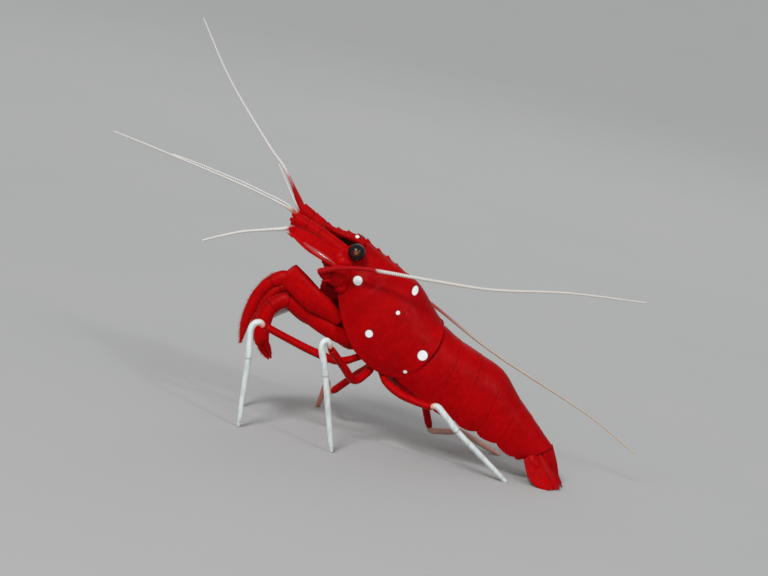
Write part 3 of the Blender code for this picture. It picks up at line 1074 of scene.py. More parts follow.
def bristle_pattern() -> tuple[np.ndarray, list[list[int]]]:
    """Corners and faces of a bristle one unit long, three-sided."""
    shape = bmesh.new()
    bmesh.ops.create_cone(shape, cap_ends=True, segments=3, radius1=1, radius2=0, depth=1)
    bmesh.ops.translate(shape, verts=shape.verts, vec=(0, 0, 0.5))
    for height in (0.35, 0.7):
        geometry = shape.verts[:] + shape.edges[:] + shape.faces[:]
        bmesh.ops.bisect_plane(shape, geom=geometry, plane_co=(0, 0, height), plane_no=(0, 0, 1))
    bmesh.ops.remove_doubles(shape, verts=shape.verts, dist=1e-5)
    bmesh.ops.recalc_face_normals(shape, faces=shape.faces)
    shape.verts.index_update()
    corners = np.array([vert.co[:] for vert in shape.verts])
    faces = [[vert.index for vert in face.verts] for face in shape.faces]
    shape.free()
    return corners, faces


PATCH = 0.003  # breadth of a bristle's place on the coat's map


def coat(name: str, hairs: Sequence[Hair], finish: Finish) -> None:
    """Joins bristles into one piece, whose map OFBake holds a small patch for each.

    Args:
        name: The piece's name.
        hairs: Its bristles.
        finish: Its finish.
    """
    pattern, faces = bristle_pattern()
    count, size = len(hairs), len(pattern)
    roots = np.array([hair.root[:] for hair in hairs])[:, None, :]
    runs = np.array([(hair.heading * hair.length)[:] for hair in hairs])[:, None, :]
    bends = np.array([(hair.bend * hair.length)[:] for hair in hairs])[:, None, :]
    sides = np.array([hair.heading.orthogonal().normalized()[:] for hair in hairs])
    ups = np.cross(np.array([hair.heading[:] for hair in hairs]), sides)[:, None, :]
    radii = np.array([hair.radius for hair in hairs])[:, None, None]
    x, y, z = (pattern[None, :, k, None] for k in range(3))
    corners = roots + runs * z + bends * z**2 + (sides[:, None, :] * x + ups * y) * radii
    mesh = bpy.data.meshes.new(name)
    everywhere = [[k * size + index for index in face] for k in range(count) for face in faces]
    mesh.from_pydata(corners.reshape(-1, 3).tolist(), [], everywhere)
    along = mesh.attributes.new("along", "FLOAT", "POINT")
    along.data.foreach_set("value", np.tile(pattern[:, 2], count).astype(np.float32))
    turns = [(pattern[index, 0] + 1, pattern[index, 2]) for face in faces for index in face]
    local = np.tile(np.array(turns) * (PATCH / 2, PATCH), (count, 1))
    start = np.repeat(np.array([hair.patch for hair in hairs]), len(turns), axis=0)
    uv = mesh.uv_layers.new(name="OFBake")
    uv.uv.foreach_set("vector", (start + local).astype(np.float32).ravel())
    mesh.transform(TO_ROW)
    mesh.shade_smooth()
    seated(name, mesh, finish)


@dataclass(frozen=True)
class Row:
    """Bristles along something: from where to where, how many, how long and how thick."""

    start: float
    end: float
    count: int
    length: float
    radius: float = 0.011

    def places(self) -> Iterable[Flat]:
        """For each bristle its share of the row and its place along."""
        for k in range(self.count):
            share = (k + 0.5) / self.count
            yield share, self.start + (self.end - self.start) * share

    def on_edge(self, blade: Blade, b: int, tile: int = 0, tiles: int = 1) -> list[Hair]:
        """Bristles on one edge of a blade, longest in the middle.

        Args:
            blade: The blade.
            b: 1 or -1, the edge.
            tile: Number of the blade's share of the map.
            tiles: Number of blades on the map.

        Returns:
            The bristles.
        """
        hairs = []
        for share, t in self.places():
            root, out, heading = blade.edge(t, b)
            jitter = noise.random_vector() * 0.09
            lean = 0.7 + 1.6 * smooth(0.86, 1.0, t)
            direction = (out.normalized() + heading * lean + jitter).normalized()
            crest = 0.55 + 0.45 * math.sin(math.pi * min(1, share * 1.05))
            length = self.length * crest * (0.88 + 0.24 * noise.random())
            patch = ((tile + 0.08 + 0.8 * (0.5 + 0.5 * b)) / tiles, 0.02 + 0.94 * t)
            hairs.append(Hair(root - out.normalized() * 0.03, direction, heading * 0.14, length,
                              self.radius, patch))
        return hairs

    def on_limb(self, limb: Limb, turn: float, spread: float, tile: int = 0, tiles: int = 1,
                lean: float = 0.55) -> list[Hair]:
        """Bristles in a band along a limb.

        Args:
            limb: The limb.
            turn: Middle of the band, as a share of the way round the limb.
            spread: Half its breadth, as an angle.
            tile: Number of the band's share of the map.
            tiles: Number of bands on the map.
            lean: How far they lean towards the limb's tip.

        Returns:
            The bristles.
        """
        hairs = []
        for share, t in self.places():
            angle = math.tau * turn + spread * (2 * noise.random() - 1)
            root, out, heading = limb.surface(t, angle)
            tuft = 0.75 + 0.25 * math.cos(math.tau * share * self.count / 7)
            direction = (out + heading * lean + noise.random_vector() * 0.22).normalized()
            length = self.length * tuft * (0.6 + 0.4 * noise.random())
            patch = ((tile + 0.05 + 0.9 * (angle / math.tau % 1)) / tiles, 0.02 + 0.94 * t)
            hairs.append(Hair(root, direction, heading * 0.22, length, self.radius, patch))
        return hairs


def banded(limb: Limb, bands: Sequence[tuple[float, float, Row]]) -> list[Hair]:
    """Bristles of a limb's bands: the turn, half breadth and row of each."""
    return [hair for tile, (turn, spread, row) in enumerate(bands)
            for hair in row.on_limb(limb, turn, spread, tile, len(bands))]


@dataclass(frozen=True)
class Hem:
    """Short bristles along both lower edges of a plate, and their strip of the map."""

    start: float
    reach: float
    count: int
    radius: float
    splay: float
    strip: Flat

    def hairs(self, place: Callable[[float, float, float], Vector], tile: int = 0,
              tiles: int = 1) -> list[Hair]:
        """The bristles.

        Args:
            place: Gives the plate's surface for q, the side and t.
            tile: Number of the plate's share of the map.
            tiles: Number of plates on the map.

        Returns:
            The bristles of both sides.
        """
        hairs = []
        low, high = self.strip
        for side in Side:
            for k in range(self.count):
                t = self.start + self.reach * (k + 0.5) / self.count
                root = place(0.985, -side.value, t)
                down = Vector((0.4, -self.splay * side.value, -1)) + noise.random_vector() * 0.25
                patch = (0.5 - 0.45 * side.value, (tile + low + high * t) / tiles)
                hairs.append(Hair(root, down.normalized(), Vector((0.2, 0, 0)),
                                  0.26 + 0.12 * noise.random(), self.radius, patch))
        return hairs


CARAPACE_STATIONS = (
    ((-3.4, 25.3), (-5.7, 19.1), 2.7),
    ((-0.2, 23.8), (-4.3, 15.5), 3.6),
    ((3.9, 21.7), (-1.9, 12.1), 4.3),
    ((6.3, 19.3), (1.6, 10.1), 4.4),
    ((7.7, 17.7), (5.2, 9.9), 4.1),
)
PLEON_STATIONS = (
    ((8.3, 17.1), (6.2, 8.3), 3.9),
    ((10.7, 15.7), (8.6, 7.0), 3.9),
    ((13.6, 14.5), (12.0, 5.7), 3.7),
    ((16.9, 13.0), (15.0, 4.8), 3.3),
    ((19.5, 10.2), (17.8, 3.9), 2.9),
    ((21.7, 8.1), (20.4, 2.7), 2.5),
    ((25.0, 4.9), (21.9, 2.8), 1.7),
)


@dataclass(frozen=True)
class Carapace:
    """Shell over head and thorax, in one with its toothed rostrum."""

    shell: Shell = Shell(CARAPACE_STATIONS)
    bulge: float = 0.42
    bulge_step: float = 3.2
    thick: float = 0.32
    faces: tuple[int, int] = (150, 90)
    voxel: float = 0.102
    ridge: Line = (
        (-9.4, 0, 26.4), (-8.0, 0, 26.27), (-6.6, 0, 26.06), (-5.0, 0, 25.95), (-3.6, 0, 25.6),
        (-1.8, 0, 24.65), (-0.2, 0, 23.88), (1.3, 0, 23.03), (2.7, 0, 22.0), (4.0, 0, 21.2),
    )
    under: Line = (
        (-9.4, 0, 26.3), (-7.95, 0, 25.52), (-6.7, 0, 25.14), (-5.4, 0, 24.86),
        (-4.1, 0, 24.5), (-2.8, 0, 23.4), (-1.4, 0, 22.4), (0.1, 0, 21.4), (1.6, 0, 20.6),
        (3.4, 0, 20.4),
    )
    teeth: int = 9
    teeth_reach: Flat = (0.08, 0.86)
    tooth_height: float = 0.3
    tooth_width: float = 0.17
    under_teeth: tuple[Flat, ...] = ((-7.9, 25.65), (-6.5, 25.2))
    spines_at: tuple[Flat, ...] = ((0.47, 1.0), (0.84, 0.6))
    spine_length: float = 0.6
    hem: Hem = Hem(0.1, 0.85, 120, 0.008, 0.6, (0.02, 0.94))

    @staticmethod
    def relief(s: float, q: float, margin: float) -> float:
        """Height of the grooves, swellings and rims at station s and q.

        Args:
            s: Station.
            q: Place from ridge to lower edge.
            margin: Share of the length to the nearer end.

        Returns:
            Millimetres outwards.
        """
        groove = hump(s, 1.6 - 0.95 * q, 0.11) * smooth(0.66, 0.5, q) * 0.13
        seam = 0.42 + 0.03 * math.sin(2.2 * s)
        groove += hump(q, seam, 0.022) * smooth(1.0, 1.7, s) * smooth(4.1, 3.3, s) * 0.06
        groove += hump(q, 0.56 - 0.1 * s, 0.03) * smooth(0.9, 0.5, s) * 0.05
        swell = 0.14 * hump(s, 0.85, 0.4) * hump(q, 0.64, 0.13)
        swell += 0.08 * hump(s, 2.6, 0.9) * hump(q, 0.66, 0.16)
        rim = 0.09 * smooth(0.945, 0.985, q) + 0.07 * hump(margin, 0.03, 0.035)
        return swell + rim - groove

    def place(self, q: float, side: float, t: float) -> Vector:
        """Point on the outer face for q, the side and t from front to back.

        Args:
            q: 0 at the ridge and 1 at the lower edge.
            side: 1 or -1.
            t: Share of the length.

        Returns:
            The point.
        """
        last = self.shell.last
        corner = smooth(0.86, 1.0, q) ** 2
        front = 0.12 * hump(q, 0.27, 0.1) - 0.14 * hump(q, 0.47, 0.06) + 0.12 * corner
        back = last + self.bulge * math.sin(math.pi * min(1, q * 1.05)) - 0.1 * corner
        s = front + (back - front) * t
        inside = min(s, last)
        point = self.shell.point(inside, q, side)
        if s > last:
            ridge, edge, _ = self.shell.section(last)
            before, edge_before, _ = self.shell.section(last - 0.5)
            heading = ((ridge - before) + (edge - edge_before)).normalized()
            point += Vector((heading.x, 0, heading.y)) * (s - last) * self.bulge_step
        return self.shell.lifted(point, inside, self.relief(s, q, min(t, 1 - t)))

    def blade(self) -> Shape:
        """Rostrum and crest: a keeled blade from the tip back along the ridge."""
        ridge, under = Route(self.ridge), Route(self.under)

        def place(turn: float, t: float) -> Vector:
            """Point for a turn and a share of the length."""
            low, out = profile(turn)
            spot = ridge.at(t).lerp(under.at(t), low)
            half = 0.14 + 0.42 * smooth(0.0, 0.45, t)
            keel = 0.55 + 0.45 * hump(low, 0.62, 0.26)
            spot.y = half * keel * out
            return spot

        return rolled(20, 120, place)

    def crest_teeth(self) -> list[Shape]:
        """Low saw teeth along the upper edge, pointing forward, and two below the rostrum."""
        ridge = Route(self.ridge)
        first, reach = self.teeth_reach
        horns = []
        for k in range(self.teeth):
            root = ridge.at(first + reach * k / self.teeth)
            heel = ridge.at(first + reach * (k + 0.93) / self.teeth)
            run = heel - root
            rise = Vector((-run.z, 0, run.x)).normalized()
            rise.z = abs(rise.z)
            size = self.tooth_height * (0.7 + 0.3 * math.sin(math.pi * (k + 1) / self.teeth))
            tip = root - run * 0.1 + rise * size
            base = root.lerp(heel, 0.45) - rise * 0.2
            horns.append(horn(base, tip, run.length * 0.52, self.tooth_width, run))
        for x, z in self.under_teeth:
            base = Vector((x, 0, z + 0.1))
            horns.append(horn(base, base + Vector((-0.45, 0, -0.28)), 0.4, 0.14,
                              Vector((1, 0, -0.3))))
        return horns

    def spines(self) -> list[Shape]:
        """Sharp point below each orbit and a smaller one at the lower front corner."""
        horns = []
        for side in Side:
            for q, size in self.spines_at:
                base = self.place(q, -side.value, 0.02)
                tip = base + side.turn((-self.spine_length * size, -0.12, -0.02))
                horns.append(horn(base, tip, 0.26 * size, 0.2 * size, Vector((0, 0, 1))))
        return horns

    def build(self) -> None:
        """Makes the carapace piece and the bristles on its lower margin."""
        wall = worked(self.shell.sheet(*self.faces, self.place),
                      ("SOLIDIFY", {"thickness": self.thick, "offset": -1.0}))
        whole = merged([wall, self.blade(), *self.crest_teeth(), *self.spines()])
        shape = worked(whole, ("REMESH", {"mode": "VOXEL", "voxel_size": self.voxel}),
                       ("SMOOTH", {"factor": 0.5, "iterations": 3}))
        stand_in("carapace", shape, SPOTTED)
        coat("carapace_fringe", self.hem.hairs(self.place), BRISTLE)


@dataclass(frozen=True)
class Pleon:
    """Tail of six overlapping segments."""

    shell: Shell = Shell(PLEON_STATIONS)
    segments: int = 6
    thick: float = 0.22
    tuck: float = 0.12
    flare: float = 0.03
    lobe: float = 0.07
    bow: float = 0.2
    faces: tuple[int, int] = (84, 22)
    hem: Hem = Hem(0.08, 0.84, 36, 0.009, 0.0, (0.1, 0.8))

    def lift(self, number: int, q: float, t: float) -> float:
        """How far the plate stands out from the even tail: tucked in front, proud behind.

        Args:
            number: Number of the plate.
            q: Place from ridge to lower edge.
            t: Share of its length.

        Returns:
            Millimetres outwards.
        """
        front = smooth(0.22, 0.0, t)
        tuck = -self.tuck
        if number == 1:
            tuck += (self.tuck + 0.16) * smooth(0.5, 0.75, q)
        rear = self.flare * smooth(0.72, 1.0, t)
        groove = 0.022 * hump(t, 0.27, 0.035) * smooth(0.85, 0.6, q)
        rim = 0.03 * smooth(0.93, 0.98, q) + 0.015 * smooth(0.95, 1.0, t)
        return tuck * front + rear - groove + rim

    def place(self, number: int, q: float, side: float, t: float) -> Vector:
        """Point on segment number for q, the side and t from front to back.

        Args:
            number: Number of the plate.
            q: Place from ridge to lower edge.
            side: 1 or -1.
            t: Share of its length.

        Returns:
            The point.
        """
        reach = 0.26 * smooth(0.5, 0.9, q) if number == 1 else 0.0
        start, end = number - 0.1 - reach, number + 1.06 + 0.5 * reach
        if number == 0:
            start -= 0.95 * smooth(0.5, 0.92, q)
        if number == self.segments - 1:
            end = number + 1.0
        s = start + (end - start) * t
        s += self.bow * math.sin(math.pi * q) * (1 - s / self.shell.last)
        point = self.shell.point(s, q, side, self.lobe * abs(2 * t - 1) ** 2.5)
        return self.shell.lifted(point, s, self.lift(number, q, t))

    def build(self) -> None:
        """Makes the six segments and the bristles along their lobes."""
        hairs = []
        for number in range(self.segments):
            place = partial(self.place, number)
            shape = worked(self.shell.sheet(*self.faces, place),
                           ("SOLIDIFY", {"thickness": self.thick, "offset": -1.0}),
                           ("SUBSURF", {"levels": 1, "render_levels": 1}))
            stand_in(f"pleon_{number + 1}", ruffle(shape, 0.03, 1.3), RED)
            hairs += self.hem.hairs(place, number, self.segments)
        coat("pleon_fringe", hairs, BRISTLE)


@dataclass(frozen=True)
class Trunk:
    """Soft body inside the shells, seen from below and between the plates."""

    shell: Shell = Shell(CARAPACE_STATIONS + PLEON_STATIONS)
    top: float = 0.07
    chest_floor: float = 0.97
    tail_floor: float = 0.72
    broad: float = 0.85
    cushions: tuple[tuple[Point, Point], ...] = (
        ((4.5, 0, 9.1), (1.8, 2.1, 1.4)),
        ((23.2, 0, 4.4), (1.2, 1.25, 1.05)),
    )
    lean: float = 0.5

    def place(self, turn: float, t: float) -> Vector:
        """Point on the soft body for a turn and a share of its length."""
        s = 0.1 + (self.shell.last - 0.3) * t
        low, out = profile(turn)
        under = self.chest_floor + (self.tail_floor - self.chest_floor) * smooth(3.6, 5.4, s)
        ends = math.sqrt(max(0.0, 1 - (2 * t - 1) ** 12))
        ribs = 0.02 * math.cos(math.tau * s * 2) * smooth(0.7, 1.0, low)
        drop = 0.5 + (self.top + (under - self.top) * low - 0.5) * (0.3 + 0.7 * ends) + ribs
        return self.shell.inside(s, drop, self.broad * out * ends)

    def build(self) -> None:
        """Makes the soft body, with a cross ridge at each pair of limbs."""
        cushions = [ball(Vector(centre), radii, pitched(self.lean), 0.0, 32)
                    for centre, radii in self.cushions]
        shape = merged([rolled(36, 160, self.place), *cushions])
        piece("soft_body", ruffle(shape, 0.08, 1.1), FLESH)


@dataclass(frozen=True)
class Head:
    """Front of the head between the eyes, with the mouth field under it."""

    shell: Shell = Shell((
        ((-6.5, 23.3), (-7.1, 20.8), 0.55),
        ((-5.6, 23.9), (-6.7, 19.4), 1.35),
        ((-4.3, 24.2), (-6.2, 18.8), 1.9),
        ((-2.4, 24.1), (-4.9, 17.2), 2.3),
    ))
    voxel: float = 0.09
    lobe_lean: float = math.radians(-24)
    lobes: tuple[tuple[Point, Point], ...] = (
        ((-6.1, -1.9, 23.0), (1.7, 1.5, 1.15)),
        ((-5.6, -2.75, 22.55), (1.45, 1.05, 1.1)),
        ((-5.5, -2.7, 21.0), (1.25, 1.15, 1.5)),
        ((-5.3, -2.5, 19.6), (0.95, 1.0, 1.1)),
    )
    jaw_lean: float = math.radians(-25)
    lip: tuple[Point, Point] = ((-6.6, 0, 19.9), (0.55, 0.6, 0.45))
    jaws: tuple[tuple[Point, Point], ...] = (
        ((-6.1, -0.72, 19.3), (0.62, 0.5, 0.75)),
        ((-5.7, -1.35, 18.6), (0.75, 0.5, 0.6)),
    )
    palp: Line = ((-6.1, -0.9, 19.5), (-7.0, -1.2, 19.5), (-7.6, -1.2, 18.9),
                  (-7.6, -1.0, 18.3))
    leaf: Line = ((-5.2, -1.6, 17.9), (-6.5, -2.0, 18.5), (-7.5, -1.9, 19.1))
    curled: Line = ((-4.8, -1.2, 17.6), (-6.1, -1.5, 18.3), (-7.0, -1.4, 18.9),
                    (-7.5, -1.1, 18.6), (-7.4, -0.9, 18.1))
    # painted shadow: thin near-black sheet under the rostrum, where there is only shade
    hollow: Line = ((-7.2, 0, 25.0), (-6.4, 0, 24.78), (-5.4, 0, 24.52),
                    (-4.2, 0, 24.2))
    bristles: Row = Row(0.45, 1.0, 90, 0.4, 0.01)

    def place(self, turn: float, t: float) -> Vector:
        """Point on the block between the eyes, grooved where its parts meet."""
        low, out = profile(turn)
        end = max(math.sqrt(max(0.0, 1 - (1 - min(1.0, t / 0.25)) ** 2)), 0.2)
        grooves = 1 - 0.08 * (hump(low, 0.42, 0.04) + hump(low, 0.72, 0.04))
        return self.shell.inside(t * self.shell.last, 0.5 + (low - 0.5) * end,
                                 out * grooves * end)

    def jaw_leg(self, side: Side) -> Limb:
        """The short second mouth limb, curled in front of the jaws."""
        return Limb(Route(side.flip(self.curled)), (0.36, 0.4, 0.36, 0.3, 0.14),
                    (0.2, 0.55, 0.78))

    def mouth(self) -> list[Shape]:
        """Lips, jaws and the leaf-like small mouth limbs."""
        lean = pitched(self.jaw_lean)
        centre, radii = self.lip
        parts = [ball(Vector(centre), radii, lean)]
        for side in Side:
            parts += [ball(side.turn(centre), radii, lean) for centre, radii in self.jaws]
            palp = Limb(Route(side.flip(self.palp)), (0.26, 0.25, 0.2, 0.1), (0.36, 0.7))
            leaf = Blade(Route(side.flip(self.leaf)), (0.4, 0.55, 0.2), (0.5, 0, 0.8), thick=0.1,
                         keel=0.1, sides=20, rings=24)
            parts += [palp.shape(), leaf.shape(), self.jaw_leg(side).shape()]
        return parts

    def build(self) -> None:
        """Makes the head, the mouth parts, a near-black sheet of painted shadow behind the eyes,
        and bristles.
        """
        lobes = [ball(side.turn(centre), radii, pitched(self.lobe_lean), segments=24)
                 for side in Side for centre, radii in self.lobes]
        shape = worked(merged([rolled(40, 48, self.place), *lobes]),
                       ("REMESH", {"mode": "VOXEL", "voxel_size": self.voxel}),
                       ("SMOOTH", {"factor": 0.5, "iterations": 6}))
        stand_in("head", ruffle(shape, 0.05, 0.9), LIMB_RED, Slot.DARK)
        piece("mouth_parts", merged(self.mouth()), DARK)
        hollow = Limb(Route(self.hollow), (0.1, 0.3, 0.4, 0.5), deep=(0.1, 0.32, 0.45, 0.6))
        piece("orbit_hollow", hollow.shape(), SHADE)
        hairs = [hair for tile, side in enumerate(Side)
                 for hair in self.bristles.on_limb(self.jaw_leg(side), 0.25, 1.2, tile, 2)]
        coat("mouth_bristles", hairs, BRISTLE)


@dataclass(frozen=True)
class Eye:
    """A round faceted eye on its short stalk."""

    side: Side
    swing: Point = (0.0, 0.0, 0.0)
    radius: float = 1.1
    sunk: float = 0.324
    start: Point = (-4.95, -1.3, 24.1)
    bend: Point = (-0.25, 0.75, -0.02)
    half: Sizes = (0.62, 0.66, 0.8)
    collar_at: float = 0.66
    collar_radius: float = 0.13

    @property
    def centre(self) -> Vector:
        """Middle of the eye."""
        return self.side.turn(EYE_CENTRE) + Vector(self.swing)

    def inward(self, depth: float) -> Vector:
        """Point that far from the eye's middle towards the head."""
        return self.centre - self.side.turn((0, -depth, 0))

    def collar(self) -> Shape:
        """Raised rim of the stalk round the eye."""
        shape = bmesh.new()
        bmesh.ops.create_circle(shape, segments=14, radius=self.collar_radius)
        out = Matrix.Translation((self.radius * 0.8, 0, 0))
        bmesh.ops.transform(shape, matrix=out @ UPRIGHT, verts=shape.verts)
        bmesh.ops.spin(shape, geom=shape.verts[:] + shape.edges[:], cent=(0, 0, 0),
                       axis=(0, 0, 1), steps=72, angle=math.tau, use_merge=True)
        place = Matrix.Translation(self.inward(self.collar_at))
        bmesh.ops.transform(shape, matrix=place @ UPRIGHT, verts=shape.verts)
        bmesh.ops.recalc_face_normals(shape, faces=shape.faces)
        return shape

    def build(self) -> None:
        """Makes the eye and its stalk."""
        letter = self.side.letter
        cornea = blank()
        bmesh.ops.create_uvsphere(cornea, u_segments=72, v_segments=48, radius=self.radius,
                                  matrix=Matrix.Translation(self.centre) @ UPRIGHT)
        finish = Cornea(f"eye_{letter}_cornea", tuple(self.centre), float(-self.side.value))
        stand_in(f"eye_{letter}", cornea, finish, Slot.EYE)
        end = self.inward(self.sunk)
        route = Route([self.side.turn(self.start), end + self.side.turn(self.bend), end])
        stalk = Limb(route, self.half, (0.42,), across=(1, 0, 0), sides=40)
        stand_in(f"eyestalk_{letter}", merged([stalk.shape(), self.collar()]), LIMB_RED)


@dataclass(frozen=True)
class Whip:
    """A ringed feeler that tapers to a thread."""

    name: str
    route: Line
    nodes: tuple[str, ...]
    root: float
    tip: float
    red_length: float = 0.0
    swollen: float = 0.0
    swell_length: float = 2.5
    pitch: float = 0.26
    fade: float = 0.8
    white: Colour = (0.68, 0.675, 0.65, 1)
    red: Colour = (0.40, 0.0012, 0.003, 1)
    across: Point = (0.0, 1.0, 0.0)
    beads: Sizes = (0.86, 1.0, 1.05, 1.0)
    sides: int = 10

    def radius(self, share: float, reach: float) -> float:
        """Radius at a share of the length and that many millimetres from the root."""
        even = self.tip + (self.root - self.tip) * (1 - share) ** 0.8
        swell = self.swollen * math.exp(-((reach / self.swell_length) ** 2))
        return (even + swell) * max(0.15, math.sqrt(1 - smooth(0.992, 1.0, share) ** 2))

    def shape(self) -> Shape:
        """Tube whose rings narrow at each seam; "along" holds the length in millimetres."""
        route = Route(self.route)
        step = self.pitch / len(self.beads)
        rings = [replace(route.ring(t, self.across), share=k * step)
                 for k, t in enumerate(route.even(step))]
        last = len(rings) - 1

        def section(number: int, angle: float) -> Flat:
            """Offsets of a circle."""
            bead = self.beads[number % len(self.beads)]
            radius = self.radius(number / last, number * step) * bead
            return radius * math.cos(angle), radius * math.sin(angle)

        return tube(rings, self.sides, section)

    def build(self) -> None:
        """Makes the feeler piece."""
        finish = Feeler(f"{self.name}_finish", self.red_length, self.pitch, self.fade,
                        white=self.white, red=self.red)
        piece(self.name, self.shape(), finish, *self.nodes, slot=Slot.FEELER)


def lengths(name: str) -> tuple[str, str]:
    """Names of the two solids that a long feeler stands for."""
    return f"{name}_a_feeler", f"{name}_b_feeler"


TAN: Colour = (0.56, 0.48, 0.39, 1)
ORANGE: Colour = (0.45, 0.10, 0.035, 1)

WHIPS = (
    Whip("antennule_L_outer", ((-12.6, -1.9, 27.0), (-14.0, -2.1, 27.68), (-19.7, -3.2, 29.3),
                               (-29.3, -5.0, 31.4), (-36.4, -6.0, 32.8)),
         lengths("antennule_L_outer"), 0.18, 0.1, 1.0, swollen=0.1, swell_length=1.0,
         red=ORANGE),
    Whip("antennule_L_branch", ((-12.7, -1.7, 27.2), (-14.1, -1.95, 28.05), (-16.9, -2.5, 28.87),
                                (-19.7, -3.05, 29.63), (-22.5, -3.6, 30.24), (-25.3, -4.15, 30.82),
                                (-27.4, -4.55, 31.2), (-29.0, -4.9, 31.42)),
         (), 0.15, 0.1, 0.8, red=ORANGE),
    Whip("antennule_R_outer", ((-11.9, 1.6, 26.9), (-13.3, 1.8, 29.0), (-15.4, 2.2, 31.8),
                               (-18.0, 3.0, 34.1), (-24.4, 4.5, 40.8), (-29.4, 5.5, 47.6)),
         lengths("antennule_R_outer"), 0.2, 0.09, 4.6, swollen=0.31, swell_length=2.9,
         fade=1.6),
    Whip("antennule_R_branch", ((-12.4, 1.2, 26.9), (-13.4, 1.15, 28.3), (-14.1, 1.2, 29.3),
                                (-15.0, 1.4, 30.6), (-16.2, 1.7, 32.2)), (), 0.17, 0.08, 0.4),
    Whip("antennule_L_inner", ((-12.4, -2.1, 25.5), (-13.8, -2.4, 24.95), (-15.95, -2.9, 24.4),
                               (-18.5, -3.4, 23.7), (-20.9, -3.75, 22.7), (-23.2, -4.0, 21.6)),
         ("antennule_L_inner_feeler",), 0.21, 0.13, 0.7, swollen=0.08),
    Whip("antennule_R_inner", ((-12.2, 1.9, 26.6), (-13.6, 6.0, 27.6), (-14.0, 10.5, 27.9)),
         ("antennule_R_inner_feeler",), 0.21, 0.08, 1.0, across=(1, 0, 0)),
    Whip("antenna_L", ((-8.35, -4.75, 21.05), (-7.25, -5.1, 21.6), (-5.6, -5.4, 22.22),
                       (-2.3, -5.9, 22.87), (6.5, -7.5, 23.55), (13.2, -8.5, 24.2),
                       (22.2, -9.0, 25.9), (31.6, -9.0, 26.8)),
         lengths("antenna_L"), 0.26, 0.09, 7.8, swollen=0.12, swell_length=4.0, fade=0.5,
         white=(0.63, 0.615, 0.565, 1)),
    Whip("antenna_R", ((-8.9, 4.85, 21.2), (-8.2, 5.2, 21.8), (-1.3, 6.1, 21.4), (6.2, 6.2, 18.3),
                       (15.4, 7.4, 13.6), (28.8, 8.0, 8.3), (36.1, 8.0, 4.5)),
         lengths("antenna_R"), 0.24, 0.09, 20.0, swollen=0.12, swell_length=4.0, fade=5.5,
         white=TAN),
)


@dataclass(frozen=True)
class Antennule:
    """Stem of the upper pair of feelers: three articles and a pointed guard at the base."""

    side: Side
    tip: Point
    base: Point = (-5.3, -1.2, 23.15)
    half: Sizes = (0.85, 0.8, 0.72, 0.6)
    deep: Sizes = (1.08, 1.05, 0.97, 0.86)
    joints: Sizes = (0.56, 0.78)
    guard: Line = ((-0.6, -0.75, 0.2), (-2.2, -0.95, 0.75), (-3.8, -0.85, 1.35))
    fork: Line = ((0.22, 0, 0.3), (0.12, -0.1, -0.34))
    bands: tuple[tuple[float, float, Row], ...] = (
        (0.25, 0.6, Row(0.5, 0.98, 40, 0.35, 0.008)),
        (0.75, 0.5, Row(0.5, 0.98, 30, 0.3, 0.008)),
    )

    def build(self) -> None:
        """Makes the stem, which forks at its end, and its bristles."""
        base, tip = self.side.turn(self.base), Vector(self.tip)
        middle = base.lerp(tip, 0.5) + Vector((0, 0, 0.1))
        stem = Limb(Route((base, middle, tip)), self.half, self.joints, deep=self.deep, sides=32,
                    furrow=0.03, cap=0.08)
        guard = Route([base + self.side.turn(point) for point in self.guard])
        leaf = Blade(guard, (0.62, 0.5, 0.05), (0, 0.5, 0.85), thick=0.12, keel=0.08, sides=20,
                     rings=24)
        turned = (tip - middle).normalized().to_track_quat("Z", "Y").to_matrix()
        fork = [ball(tip + Vector(shift), (0.4, 0.36, 0.62), turned, 0.3, 20)
                for shift in self.fork]
        name = f"antennule_{self.side.letter}"
        stand_in(name, merged([stem.shape(), leaf.shape(), *fork]), LIMB_RED)
        coat(f"{name}_bristles", banded(stem, self.bands), BRISTLE)


